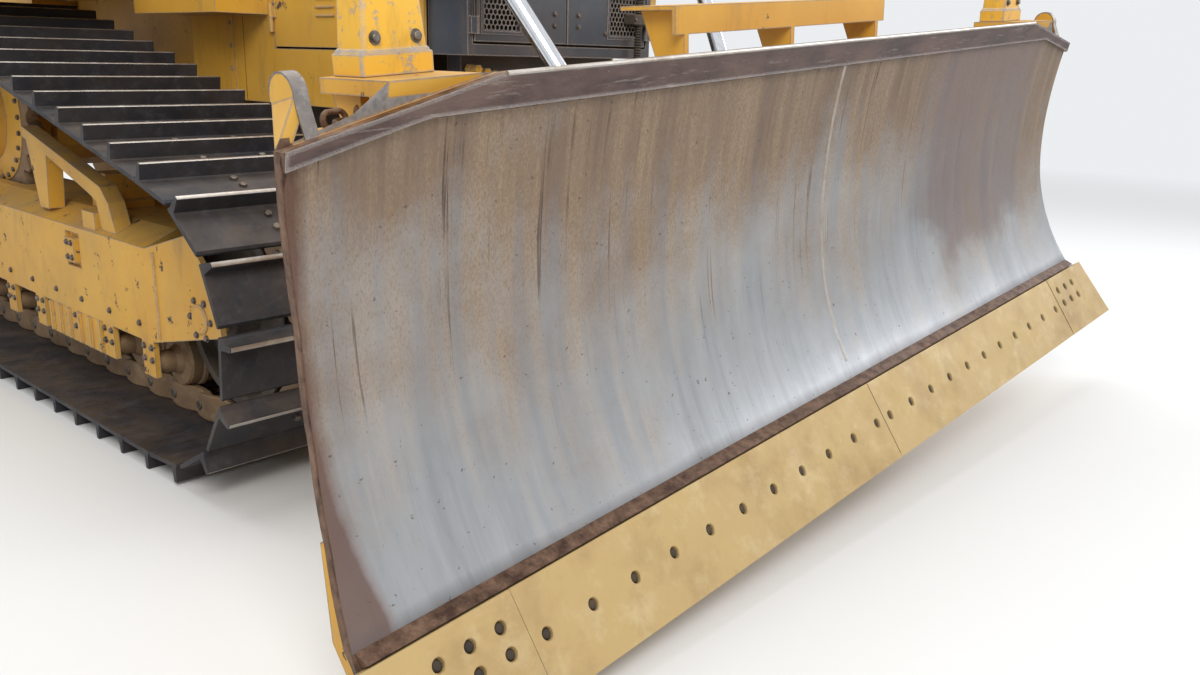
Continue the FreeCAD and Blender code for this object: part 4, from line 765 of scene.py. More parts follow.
def makeEdges():
    top = edge["height"] - edge["drop"]
    low = -edge["drop"]
    bars = [edgeBlock(s * 0.001, s * edge["length"], 0.0) for s in (1, -1)]
    bar = ringSolids("cuttingEdgeBars", np.stack(bars), edgeSteel, "blade", "edge_steel", smooth=30)
    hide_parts("cutting_edges")
    spots = [edge["length"] - edge["end"] - i * edge["pitch"] for i in range(edge["count"])]
    borders = [edge["length"]] + [(a + b) / 2 for a, b in zip(spots[:-1], spots[1:])] + [0.001]
    cells, holes = [], []
    for s in (1, -1):
        for x, a, b in zip(spots, borders[:-1], borders[1:]):
            cells.append((*sorted((s * a, s * b)), low, top))
            holes.append((s * x, 0.0))
    holedPlate("cuttingEdgeFace", cells, holes, 0.0004, edgeSteel)
    bits = [edgeBlock(s * (edge["length"] + 0.002), s * (edge["length"] + edge["bitLength"]), -0.002) for s in (1, -1)]
    bit = ringSolids("endBitPlates", np.stack(bits), edgeSteel, "blade", "edge_steel", smooth=30)
    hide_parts("end_bits")
    # end bits have two rows of three bolts
    bitCells, bitHoles = [], []
    ends = edge["bitBorders"]
    for s in (1, -1):
        for a, b, x in zip(ends[:-1], ends[1:], edge["bitHoles"]):
            for z0, z1, z in ((low, 0.034, 0.004), (0.034, top, 0.065)):
                bitCells.append((*sorted((s * a, s * b)), z0, z1))
                bitHoles.append((s * x, z))
    holedPlate("endBitFace", bitCells, bitHoles, -0.0016, edgeSteel)
    # bolt ends at the bottom of the holes, near-black as painted shade of the holes
    points = np.array(holes + bitHoles)
    depth = np.array([0.0] * len(holes) + [-0.002] * len(bitHoles))
    x = bitFlare(points[:, 0], points[:, 1])
    at = edgeWarp(x, points[:, 1], depth + edge["sink"])
    away = edgeWarp(x, points[:, 1], depth - 1.0) - edgeWarp(x, points[:, 1], depth)
    studs("edgeBoltEnds", at, away, [(0.0145, 0.0), (0.0140, 0.002), (0.0100, 0.0065), (0.0040, 0.0080)],
          darkHole, "blade", "edge_steel", sides=12, smooth=30)
    # dark joints between the pieces
    joints = []
    for x in (0.0, edge["length"] + 0.001, -edge["length"] - 0.001):
        joints.append([(x - 0.0012, x + 0.0012, low + 0.012, top, -0.0002, 0.012)])
    table = np.array(joints)[:, 0]
    turn = lambda p: edgeWarp(p[..., 0], p[..., 1], p[..., 2])
    chamferedBoxes("edgeJoints", table, darkHole, "blade", "edge_steel", 0.0004, turn)


makeEdges()
print("cutting edges ready")


def trackPins():
    # pin places along the loop: straight runs joined by arcs round the three wheels
    centres = np.array(track["wheels"])
    r = track["pinRadius"]
    pieces = []
    for i in range(3):
        a, b = centres[i], centres[(i + 1) % 3]
        c = centres[(i + 2) % 3]
        heading = math.atan2(b[1] - a[1], b[0] - a[0])
        after = math.atan2(c[1] - b[1], c[0] - b[0])
        bend = (heading - after) % (2 * math.pi)
        pieces += [("run", a, heading, math.hypot(*(b - a))), ("arc", b, heading, bend * r)]
    total = sum(p[3] for p in pieces)
    pitch = total / track["count"]
    points = []
    for k in range(track["count"]):
        distance = (k + track["phase"]) * pitch
        for kind, centre, heading, length in pieces:
            if distance <= length:
                break
            distance -= length
        if kind == "arc":
            heading -= distance / r
            distance = 0.0
        along = np.array((math.cos(heading), math.sin(heading)))
        points.append((centre[0] - along[1] * r + along[0] * distance, centre[1] + along[0] * r + along[1] * distance))
    return np.array(points)


pins = trackPins()
nextPins = np.roll(pins, -1, 0)
chords = np.linalg.norm(nextPins - pins, axis=1)
ahead = (nextPins - pins) / chords[:, None]
outward = np.stack((-ahead[:, 1], ahead[:, 0]), -1)


def onTrack(local, side):
    # local (link, ..., 3): x from the track's centre, share of the pitch, height over the pin line
    extra = (slice(None),) + (None,) * (local.ndim - 2)
    s, h = local[..., 1:2] * chords[extra][..., None], local[..., 2:3]
    yz = pins[extra] + ahead[extra] * s + outward[extra] * h
    x = side * (track["centre"] + local[..., 0:1])
    return np.concatenate((x, yz[..., 0:1] + machine["shift"], yz[..., 1:2]), -1)


def carried(profile, xs, insets):
    # a (share, height) outline at several x, its ends eased in
    p = np.asarray(profile, float)
    centre = p.mean(0)
    rings = [np.concatenate((np.full((len(p), 1), x), centre + (p - centre) * (1 - inset)), 1)
             for x, inset in zip(xs, insets)]
    return np.broadcast_to(np.stack(rings), (track["count"], len(xs), len(p), 3)).copy()


shoe = {
    # share of the pitch, height over the pin line
    "plate": [(-0.035, 0.052), (-0.035, 0.060), (0.0, 0.0675), (0.77, 0.0675), (0.795, 0.072), (0.822, 0.1215),
              (0.832, 0.1226), (0.898, 0.1226), (0.908, 0.1215), (0.928, 0.073), (0.950, 0.066), (0.972, 0.059),
              (0.972, 0.052)],
    "tip": [(0.827, 0.117), (0.829, 0.1224), (0.834, 0.1230), (0.896, 0.1230), (0.901, 0.1224), (0.903, 0.117)],
    "end": [(0.818, 0.074), (0.828, 0.1220), (0.902, 0.1220), (0.912, 0.074)],
    "bolts": [(-0.112, 0.30), (-0.112, 0.60), (0.112, 0.30), (0.112, 0.60)],
}
link = {"offset": 0.0955, "jog": 0.011, "half": 0.0125, "pin": 0.020}


def makeTrack(side, label):
    half = track["shoeWidth"] / 2
    xs = [-half, -half + 0.004, half - 0.004, half]
    plates = onTrack(carried(shoe["plate"], xs, [0.012, 0, 0, 0.012]), side)
    body = ringSolids("shoes" + label, plates, shoeSteel, "chassis", "shoe_steel", smooth=35)
    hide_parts("track_" + label.lower())
    tips = onTrack(carried(shoe["tip"], [-half + 0.003, half - 0.003], [0, 0]), side)
    ringSolids("grouserTips" + label, tips, wornLine, "chassis", "shoe_steel", smooth=35)
    ends = [onTrack(carried(shoe["end"], [s * half - s * 0.0035, s * half - s * 0.0001], [0, 0.06]), side) for s in (-1, 1)]
    ringSolids("grouserEnds" + label, np.concatenate(ends), wornLine, "chassis", "shoe_steel", smooth=35)
    # links: each steps inwards from its first pin to its second
    stations = np.array([-0.115, -0.05, 0.12, 0.34, 0.60, 0.84, 1.05, 1.115])
    low = np.array([-0.028, -0.044, -0.050, -0.050, -0.050, -0.050, -0.044, -0.028])
    high = np.array([0.030, 0.046, 0.0515, 0.0515, 0.0515, 0.0515, 0.046, 0.030])
    jog = np.interp(stations, [0.3, 0.62], [link["jog"], -link["jog"]])
    c = 0.004
    rings = []
    for s, lo, hi, j in zip(stations, low, high, jog):
        corners = [(-1, lo + c), (-1, hi - c), (-0.7, hi), (0.7, hi), (1, hi - c), (1, lo + c), (0.7, lo), (-0.7, lo)]
        rings.append([(link["offset"] + j + link["half"] * a, s, b) for a, b in corners])
    rings = np.array(rings)
    inner = rings * np.array([-1, 1, 1])
    pair = np.broadcast_to(np.stack((rings, inner)), (track["count"], 2, *rings.shape))
    placed = onTrack(pair.reshape(track["count"], 2 * len(stations), 8, 3), side)
    placed = placed.reshape(track["count"] * 2, len(stations), 8, 3)
    ringSolids("links" + label, placed, chainSteel, "chassis", "shoe_steel", smooth=35)
    # pins and bushings
    reach = link["offset"] + link["jog"] + link["half"] + 0.005
    at = onTrack(np.broadcast_to(np.array([[-reach, 0.0, 0.0]]), (track["count"], 1, 3)).copy(), side)[:, 0]
    axis = np.broadcast_to(np.array([side * 1.0, 0, 0]), at.shape)
    studs("pins" + label, at, axis, [(0.016, 0), (0.020, 0.003), (0.020, 2 * reach - 0.003), (0.016, 2 * reach)],
          boltSteel, "chassis", "shoe_steel", sides=14)
    spots, away = [], []
    for x, s in shoe["bolts"]:
        spots.append(onTrack(np.broadcast_to(np.array([[x, s, 0.0672]]), (track["count"], 1, 3)).copy(), side)[:, 0])
        away.append(np.concatenate((np.zeros((track["count"], 1)), outward), 1))
    studs("shoeBolts" + label, np.concatenate(spots), np.concatenate(away),
          [(0.0135, 0), (0.0135, 0.009), (0.0110, 0.0115)], boltSteel, "chassis", "shoe_steel", sides=6)


for side, label in ((1, "Left"), (-1, "Right")):
    makeTrack(side, label)
print("tracks ready")


idlerCentres = [(s * track["centre"], y + machine["shift"], z) for s in (1, -1) for y, z in (track["wheels"][0], track["wheels"][2])]
idlerShape = [(-0.154, 0.030), (-0.154, 0.086), (-0.148, 0.090), (-0.122, 0.090), (-0.070, 0.105), (-0.060, 0.230),
              (-0.072, 0.290), (-0.116, 0.300), (-0.116, 0.332), (-0.112, 0.3355), (-0.076, 0.3355), (-0.070, 0.342),
              (-0.062, 0.356), (0.062, 0.356), (0.070, 0.342), (0.076, 0.3355), (0.112, 0.3355), (0.116, 0.332),
              (0.116, 0.300), (0.072, 0.290), (0.060, 0.230), (0.070, 0.105), (0.122, 0.090), (0.148, 0.090),
              (0.154, 0.086), (0.154, 0.030)]
idlerPiece = lathe("idlerWheels", idlerCentres, (1, 0, 0), idlerShape, castIron, "chassis", "shoe_steel", sides=64)
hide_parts("idlers")
rollerYs = np.linspace(track["wheels"][0][0] + 0.430, track["wheels"][2][0] - 0.430, 8) + machine["shift"]
rollerCentres = [(s * track["centre"], y, 0.2783) for s in (1, -1) for y in rollerYs]
rollerShape = [(-0.214, 0.020), (-0.214, 0.042), (-0.150, 0.045), (-0.128, 0.060), (-0.124, 0.098), (-0.114, 0.1045),
               (-0.076, 0.1045), (-0.072, 0.112), (-0.060, 0.116), (-0.050, 0.090), (0.050, 0.090), (0.060, 0.116),
               (0.072, 0.112), (0.076, 0.1045), (0.114, 0.1045), (0.124, 0.098), (0.128, 0.060), (0.150, 0.045),
               (0.214, 0.042), (0.214, 0.020)]
rollerPiece = lathe("trackRollers", rollerCentres, (1, 0, 0), rollerShape, chainSteel, "chassis", "yellow_paint", sides=36)
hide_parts("rollers")

sprocket = {"teeth": 25, "root": 0.370, "tip": 0.418, "half": 0.030, "y": 1.128, "z": 1.090}


def toothRing(side):
    # radius swings between root and tip with flattened crests
    n = sprocket["teeth"] * 12
    a = np.arange(n) * 2 * math.pi / n
    wave = np.clip(np.cos(a * sprocket["teeth"]) * 1.25, -0.9, 1) * 0.5 + 0.5
    r = sprocket["root"] + (sprocket["tip"] - sprocket["root"]) * np.clip(wave, 0.05, 1)
    rings = []
    for x, cut in ((-0.03, 0.003), (-0.026, 0), (0.026, 0), (0.03, 0.003)):
        rr = r - cut
        rings.append(np.stack((np.full(n, side * track["centre"] + x), sprocket["y"] + machine["shift"] + rr * np.cos(a),
                               sprocket["z"] + rr * np.sin(a)), -1))
    return np.stack(rings)


teeth = ringSolids("sprocketRings", np.stack([toothRing(1), toothRing(-1)]), chainSteel, "chassis", "shoe_steel", smooth=35)
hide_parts("sprockets")
sprocketCentres = [(s * track["centre"], sprocket["y"] + machine["shift"], sprocket["z"]) for s in (1, -1)]
hubShape = [(-0.150, 0.050), (-0.150, 0.200), (-0.145, 0.205), (-0.060, 0.205), (-0.040, 0.290), (-0.034, 0.320),
            (0.034, 0.320), (0.040, 0.290), (0.060, 0.215), (0.110, 0.205), (0.145, 0.200), (0.150, 0.190),
            (0.152, 0.128), (0.186, 0.122), (0.190, 0.115), (0.190, 0.030)]
for s, centre in zip((1, -1), sprocketCentres):
    lathe("sprocketHub" + ("Left" if s > 0 else "Right"), [centre], (s, 0, 0), hubShape, yellowDusty, "chassis", "yellow_paint",
          sides=64)


def boltCircle(centre, axis, radius, count, reach):
    p, a, b, n = frames(np.array([centre], float), np.array([axis], float))
    angle = np.arange(count) * 2 * math.pi / count
    spots = p + radius * (a * np.cos(angle)[:, None] + b * np.sin(angle)[:, None]) + n * reach
    return spots, np.broadcast_to(n, spots.shape)


hexHead = [(0.0125, -0.001), (0.0125, 0.008), (0.0100, 0.0105)]
for s, centre in zip((1, -1), sprocketCentres):
    spots, away = boltCircle(centre, (s, 0, 0), 0.168, 18, 0.150)
    inner, innerAway = boltCircle(centre, (s, 0, 0), 0.300, 25, 0.037)
    studs("hubBolts" + ("Left" if s > 0 else "Right"), np.concatenate((spots, inner)), np.concatenate((away, innerAway)),
          hexHead, boltSteel, "chassis", "shoe_steel", sides=6)
print("wheels ready")


cylinder = {
    "liftTop": (0.625, -1.691, 1.885), "liftEye": (0.290, -2.428, 0.760), "liftTurn": -7.5454,
    "angleBase": (0.640, -1.385, 0.510), "angleEye": (0.560, -2.445, 0.510),
    "tiltStart": (0.060, -2.6873, 0.905), "tiltEnd": (-0.780, -2.6873, 0.935),
}


def turnAbout(v, axis, degrees):
    return np.array(Matrix.Rotation(math.radians(degrees), 3, Vector(axis)) @ Vector(v))


def liftAxis():
    top, eye = np.array(cylinder["liftTop"]), np.array(cylinder["liftEye"])
    a = math.radians(20)
    y, z = eye[1] - 0.145, eye[2] - 0.500
    high = np.array((eye[0], 0.145 + y * math.cos(a) + z * math.sin(a), 0.5 - y * math.sin(a) + z * math.cos(a)))
    line = (eye - top) / np.linalg.norm(eye - top)
    axis = np.cross(line, high - top)
    return turnAbout(axis / np.linalg.norm(axis), line, cylinder["liftTurn"])


def makeCylinder(label, bodies, side, eye, rodEye, size, cross, replaced):
    # size: barrel radius, reach before and after the pivot, rod radius, half lengths of the eyes
    radius, before, after, rodRadius, eyeHalf, rodEyeHalf = size
    flip = np.array([side, 1, 1.0])
    p = np.array(eye) * flip + np.array([0, machine["shift"], 0])
    q = np.array(rodEye) * flip + np.array([0, machine["shift"], 0])
    along = (q - p) / np.linalg.norm(q - p)
    length = np.linalg.norm(q - p)
    r = radius
    tube = [(-after, r * 0.55), (-after, r * 0.92), (-after + 0.006, r), (-after + 0.040, r), (-after + 0.046, r * 0.965),
            (before - 0.075, r * 0.965), (before - 0.066, r * 1.0), (before - 0.050, r * 1.0), (before - 0.046, r + 0.0048),
            (before - 0.004, r + 0.0048), (before, r + 0.001), (before, rodRadius + 0.010), (before - 0.004, rodRadius + 0.004),
            (before - 0.012, rodRadius + 0.0015)]
    barrel = lathe("barrel" + label, [p], along, tube, yellowDusty, bodies[0], "yellow_paint", sides=48)
    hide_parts(replaced[0])
    crossDir = np.array(cross, float) * np.array([1, flip[0], flip[0]] if side < 0 and abs(cross[0]) > 0.2 else [1, 1, 1])
    # a stub on each side of the barrel, nothing across its bore
    stub = [(0.014, r * 0.82), (0.036, r * 0.82), (0.036, r + 0.004), (0.026, r + 0.006), (0.026, eyeHalf - 0.002),
            (0.0245, eyeHalf), (0.014, eyeHalf)]
    studs("trunnion" + label, [p, p], [crossDir, -crossDir], stub, yellowDusty, bodies[0], "yellow_paint", sides=32)
    # gland bolts
    spots, away = boltCircle(p, along, r * 0.80, 8, before - 0.002)
    studs("glandBolts" + label, spots, away, [(0.006, 0), (0.006, 0.005), (0.0045, 0.0065)], boltSteel, bodies[0], "shoe_steel", sides=6)
    rod = [(0.030, rodRadius * 0.7), (0.040, rodRadius), (length - before + 0.05, rodRadius), (length - before + 0.05, 0.01)]
    rodPiece = lathe("rod" + label, [q], -along, rod, chromeRod, bodies[1], "chrome", sides=40)
    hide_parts(replaced[1])
    pinDir = (0, 1, 0) if abs(cross[1]) > 0.9 else (0, 0, 1) if abs(cross[2]) > 0.9 else (1, 0, 0)
    h = rodEyeHalf
    eyeShape = [(-h, 0.024), (-h, 0.044), (-h + 0.003, 0.0475), (h - 0.003, 0.0475), (h, 0.044), (h, 0.024),
                (h - 0.004, 0.0225), (-h + 0.004, 0.0225)]
    lathe("rodEye" + label, [q], pinDir, eyeShape, castIron, bodies[1], "yellow_paint", sides=36)
    neck = [(0.040, 0.020), (0.040, rodRadius * 1.05), (0.052, rodRadius * 1.12), (0.070, rodRadius * 1.12), (0.074, rodRadius * 0.9)]
    lathe("rodNeck" + label, [q], -along, neck, castIron, bodies[1], "yellow_paint", sides=24)


for side, label in ((1, "Left"), (-1, "Right")):
    low = label.lower()
    axis = liftAxis()
    makeCylinder("Lift" + label, ("lift_barrel_" + low, "lift_rod_" + low), side, cylinder["liftTop"],
                 cylinder["liftEye"], (0.062, 0.165, 1.065, 0.032, 0.096, 0.034), axis,
                 ("lift_barrel_" + low, "lift_rod_" + low))
    makeCylinder("Angle" + label, ("angle_barrel_" + low, "angle_rod_" + low), side, cylinder["angleBase"],
                 cylinder["angleEye"], (0.052, 0.640, 0.040, 0.028, 0.058, 0.044), (0, 0, 1),
                 ("angle_barrel_" + low, "angle_rod_" + low))
makeCylinder("Tilt", ("tilt_barrel", "tilt_rod"), 1, cylinder["tiltStart"], cylinder["tiltEnd"],
             (0.045, 0.560, 0.040, 0.025, 0.047, 0.034), (0, 1, 0), ("tilt_barrel", "tilt_rod"))
print("cylinders ready")


def closedLoops(name, sections, materials, body, slot, **more):
    # sections: (solids, stations, points, 3), joined end to end both ways
    s = np.asarray(sections, float)
    m, k, n, _ = s.shape
    a, b = np.meshgrid(np.arange(k), np.arange(n), indexing="ij")
    quads = np.stack((a * n + b, a * n + (b + 1) % n, ((a + 1) % k) * n + (b + 1) % n, ((a + 1) % k) * n + b), -1)
    faces = (quads.reshape(-1, 4)[None] + np.arange(m)[:, None, None] * k * n).reshape(-1, 4).tolist()
    return makeObject(name, s, faces, materials, body, slot, **more)


def blendRing(half, corner, z, around=8):
    # a rectangle with rounded corners
    a = np.linspace(0, math.pi / 2, around)
    x = np.concatenate([sx * (half[0] - corner) + corner * np.cos(a + q) for sx, q in
                        ((1, 0), (-1, math.pi / 2), (-1, math.pi), (1, 1.5 * math.pi))])
    y = np.concatenate([sy * (half[1] - corner) + corner * np.sin(a + q) for sy, q in
                        ((1, 0), (1, math.pi / 2), (-1, math.pi), (-1, 1.5 * math.pi))])
    return np.stack((x, y, np.full(len(x), z)), -1)


mast = {"x": 1.600, "back": 0.380, "base": 1.205}
mastPaint = paintMaterial("mastPaint", (0.78, 0.40, 0.012), (0.74, 0.44, 0.05), (0.20, 0.20, 0.21), 0.25, 0.34, 0.75, 11.0)


def makeMasts():
    foot = [((0.090, 0.050), 0.006, 0.0), ((0.092, 0.052), 0.006, 0.002), ((0.092, 0.052), 0.006, 0.043),
            ((0.090, 0.050), 0.006, 0.045)]
    cone = [((0.082, 0.048), 0.010, 0.044), ((0.062, 0.044), 0.014, 0.296), ((0.060, 0.042), 0.014, 0.300)]
    bead = [((0.081, 0.047), 0.010, 0.044), ((0.0885, 0.0508), 0.010, 0.0445), ((0.087, 0.0505), 0.010, 0.050),
            ((0.0815, 0.0475), 0.010, 0.055)]
    centres = [np.array([s * mast["x"], mast["back"], mast["base"]]) for s in (1, -1)]
    for label, table in (("Foot", foot), ("Cone", cone), ("Weld", bead)):
        rings = np.stack([np.stack([parkBlade(blendRing(h, c, z) + centre) for h, c, z in table]) for centre in centres])
        piece = ringSolids("mast" + label, rings, mastPaint, "blade", "yellow_paint", smooth=40)
        if label == "Foot":
            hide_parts("mast_mounts")
    socket = [(0.0, 0.0005), (0.0, 0.045), (0.118, 0.045), (0.120, 0.047), (0.120, 0.056), (0.117, 0.060), (0.006, 0.060),
              (0.006, 0.050)]
    axis = parkBlade(np.array([0, 0, 1.0])) - parkBlade(np.array([0, 0, 0.0]))
    starts = [parkBlade(c + np.array([0, 0, 0.280])) for c in centres]
    lathe("mastSocket", starts, axis, socket, mastPaint, "blade", "yellow_paint", sides=40)
    spots, away = [], []
    for c in centres:
        for x, y in ((-0.086, 0.0), (0.086, 0.0)):
            spots.append(parkBlade(c + np.array([x * 0.6, -0.0475 - 0.0005, 0.075])))
            away.append(parkBlade(np.array([0, -1.0, 0.05])) - parkBlade(np.zeros(3)))
    studs("mastBolts", spots, away, [(0.0145, -0.004), (0.0145, 0.001), (0.0095, 0.001), (0.0095, 0.008), (0.0078, 0.0095)],
          boltSteel, "blade", "shoe_steel", sides=12)


def makeEarRims():
    # a worn band round each ear's edge
    r, cy, cz = 0.0425, 0.292, 1.190
    arc = [(cy + r * math.cos(a), cz + r * math.sin(a)) for a in np.linspace(math.pi, 0.1, 14)]
    low = faceY(np.array(1.105), 0.0203).item() - 0.0125
    path = np.array([(low + 0.004, 1.112), (cy - r - 0.0004, 1.180)] + arc)
    along = np.gradient(path, axis=0)
    out = np.stack((-along[:, 1], along[:, 0]), -1) / np.linalg.norm(along, axis=1)[:, None]
    rings = []
    for s in (1, -1):
        x = s * 1.883 + np.array([-0.0155, 0.0155, 0.0155, -0.0155])
        lift = np.array([0.0006, 0.0006, -0.003, -0.003])
        yz = path[:, None] + out[:, None] * lift[None, :, None]
        rings.append(parkBlade(np.concatenate((np.broadcast_to(x[None, :, None], (len(path), 4, 1)), yz), -1)))
    ringSolids("earRims", np.stack(rings), earSteel, "blade", "blade_steel", smooth=40)


earSteel = steelMaterial("earSteel", (0.06, 0.05, 0.05), (0.20, 0.185, 0.18), (0.46, 0.44, 0.42), (0.35, 0.6), 0.6, 0.15, 40.0)


def makeChain():
    # stadium links of a rusty chain lying on the beam by the right mount
    t = np.linspace(0, 2 * math.pi, 28, endpoint=False)
    half, bend, wire = 0.014, 0.0165, 0.0062
    path = np.stack((bend * np.cos(t) + half * np.sign(np.cos(t)), bend * np.sin(t), np.zeros(28)), -1)
    around = np.linspace(0, 2 * math.pi, 9)[:-1]
    out = np.stack((np.cos(t), np.sin(t), np.zeros(28)), -1)
    ring = path[:, None] + wire * (out[:, None] * np.cos(around)[None, :, None]
                                   + np.array([0, 0, 1.0]) * np.sin(around)[None, :, None])
    spots = [(-1.752, 0.350, 1.128, 80, 10), (-1.715, 0.352, 1.120, 8, -14), (-1.676, 0.346, 1.134, 74, 12),
             (-1.638, 0.343, 1.120, -6, 18), (-1.601, 0.338, 1.133, 84, -12), (-1.565, 0.335, 1.119, 5, -8),
             (-1.528, 0.338, 1.130, 70, 16)]
    links = []
    for x, y, z, roll, yaw in spots:
        turn = Matrix.Rotation(math.radians(yaw), 3, "Z") @ Matrix.Rotation(math.radians(roll), 3, "X")
        links.append(parkBlade(ring @ np.array(turn).T + np.array([x, y, z])))
    closedLoops("mastChain", np.stack(links), rustySteel, "blade", "shoe_steel", smooth=60)


makeMasts()
makeEarRims()
makeChain()
print("blade fittings ready")


door = {"x0": 0.004, "x1": 0.474, "y": -1.590, "thick": 0.022, "z0": 1.473, "z1": 2.082,
        "window": (0.249, 0.429, 1.513, 2.042), "cell": 0.0120}


def row(points):
    # layout to the part's own frame
    return np.asarray(points, float) + np.array([0, machine["shift"], 0])


def frameLoop(outer, inner, y0, y1, chamfer):
    # a flat frame between two rectangles (x0, x1, z0, z1), its edges eased
    stations = []
    for i, j in ((0, 2), (1, 2), (1, 3), (0, 3)):
        o, n = np.array((outer[i], outer[j])), np.array((inner[i], inner[j]))
        inward = np.sign(n - o) * chamfer
        pts = [(o, y0 + chamfer), (o + inward, y0), (n - inward, y0), (n, y0 + chamfer), (n, y1), (o, y1)]
        stations.append([(p[0], y, p[1]) for p, y in pts])
    return np.array(stations)


def honeycomb(x0, x1, z0, z1, y0, y1, size, wall):
    # pointed hexagons side by side, each a ring round its own hole
    stepX, stepZ = math.sqrt(3) * size, 1.5 * size
    cells = [(x0 + (i + 0.5 * (j % 2)) * stepX, z0 + j * stepZ)
             for j in range(int((z1 - z0) / stepZ) + 1) for i in range(int((x1 - x0) / stepX) + 1)]
    angle = math.radians(90) + np.arange(6) * math.pi / 3
    ring = np.stack((np.cos(angle), np.sin(angle)), -1)
    stations = []
    for radius, y in ((size * wall, y1), (size * wall, y0), (size, y0), (size, y1)):
        stations.append(np.concatenate((ring[:, :1] * radius, np.full((6, 1), y), ring[:, 1:] * radius), -1))
    shape = np.stack(stations, 1)                 # six corners, four points each
    centre = np.array([(x, 0, z) for x, z in cells])
    return shape[None] + centre[:, None, None, :]


def sideOf(points, side):
    return row(points) * np.array([side, 1, 1])


def makeGrille():
    d = door
    for side, label in ((1, "left"), (-1, "right")):
        body = "grille_door_" + label
        loop = frameLoop((d["x0"], d["x1"], d["z0"], d["z1"]), d["window"], d["y"], d["y"] + d["thick"], 0.002)
        leaf = closedLoops("grilleLeaf" + label.title(), sideOf(loop, side)[None], darkPaint, body, "dark_paint", smooth=30)
        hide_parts("grille_door_" + label)
        w = d["window"]
        mesh = honeycomb(w[0] - 0.008, w[1] + 0.004, w[2] - 0.006, w[3] + 0.006, d["y"] + 0.008, d["y"] + 0.0105, d["cell"], 0.80)
        rings = sideOf(mesh, side)
        closedLoops("grilleMesh" + label.title(), rings, darkPaint, body, "dark_paint", smooth=30)
        # inner border of the window, and bolts on the plain sheet
        trim = frameLoop((w[0] - 0.014, w[1] + 0.014, w[2] - 0.014, w[3] + 0.014), w, d["y"] - 0.003, d["y"] + 0.0005, 0.0008)
        closedLoops("grilleTrim" + label.title(), sideOf(trim, side)[None], darkPaint, body, "dark_paint", smooth=30)
        spots = [(0.066, d["y"], z) for z in (1.541, 1.585, 1.78, 1.98, 2.025)] + [(0.226, d["y"], z) for z in (1.52, 1.77, 2.03)]
        studs("grilleBolts" + label.title(), sideOf(spots, side), np.broadcast_to((0, -1.0, 0), (len(spots), 3)),
              [(0.0125, -0.002), (0.0125, 0.0015), (0.0085, 0.0015), (0.0085, 0.0065), (0.007, 0.008)],
              boltSteel, body, "dark_paint", sides=12)
        knuckle = [(0.4658, -1.600, z) for z in (1.560, 1.940)]
        lathe("grilleKnuckle" + label.title(), sideOf(knuckle, side), (0, 0, 1),
              [(0.0005, 0.003), (0.0005, 0.007), (0.002, 0.008), (0.058, 0.008), (0.0595, 0.007), (0.0595, 0.003)],
              darkPaint, body, "dark_paint", sides=20)
    # finned core behind the doors
    zs = np.arange(1.482, 2.075, 0.012)
    slats = [(-0.470, 0.470, -1.5385, -1.5205, z, z + 0.004) for z in zs]
    core = np.array(slats)
    core[:, 2:4] += machine["shift"]
    chamferedBoxes("radiatorFins", core, darkHole, "chassis", "dark_paint", 0.0006)


def makePipe():
    # corrugated pipe held by split clamps on the guard's left half
    d = door
    z = np.linspace(1.425, 2.060, 240)
    x = 0.392 + 0.012 * np.sin((z - 1.4) * 4.0)
    y = np.full_like(z, d["y"] - 0.030)
    ripple = 0.0145 + 0.0022 * np.sin(z * 2 * math.pi / 0.0105)
    body = "grille_door_left"
    sweepTube("corrugatedPipe", row(np.stack((x, y, z), -1)), ripple, blackRubber, body, "plastic", sides=14, smooth=60)
    clamps = [(0.345, 0.440, d["y"] - 0.050, d["y"] + 0.0005, z0, z0 + 0.042) for z0 in (1.560, 1.900)]
    table = np.array(clamps)
    table[:, 2:4] += machine["shift"]
    chamferedBoxes("pipeClamps", table, castIron, body, "dark_paint", 0.004)
    spots = [(x, d["y"] - 0.050, z0 + 0.021) for z0 in (1.560, 1.900) for x in (0.354, 0.431)]
    studs("clampBolts", row(spots), np.broadcast_to((0, -1.0, 0), (4, 3)), [(0.0075, -0.001), (0.0075, 0.006), (0.006, 0.0075)],
          boltSteel, body, "dark_paint", sides=6)


def makeFittings():
    # orange hose ends low on the guard's right corner
    z, y = 1.375, -1.4525
    spots = row([(-0.385, y, z), (-0.340, y, z - 0.012), (-0.300, y, z - 0.020)])
    lathe("guardFittings", spots, (0, -1, 0.0), [(0, 0.004), (0, 0.020), (0.020, 0.020), (0.022, 0.015), (0.046, 0.015),
                                                 (0.048, 0.018), (0.060, 0.018), (0.062, 0.006)],
          yellowFresh, "chassis", "yellow_paint", sides=6)


makeGrille()
makePipe()
makeFittings()
print("grille ready")


def turned(name, centres, profile, material, body, slot, sides=48, replaced=None):
    piece = lathe(name, centres, (0, 0, 1), profile, material, body, slot, sides=sides)
    if replaced:
        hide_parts(replaced)
    return piece


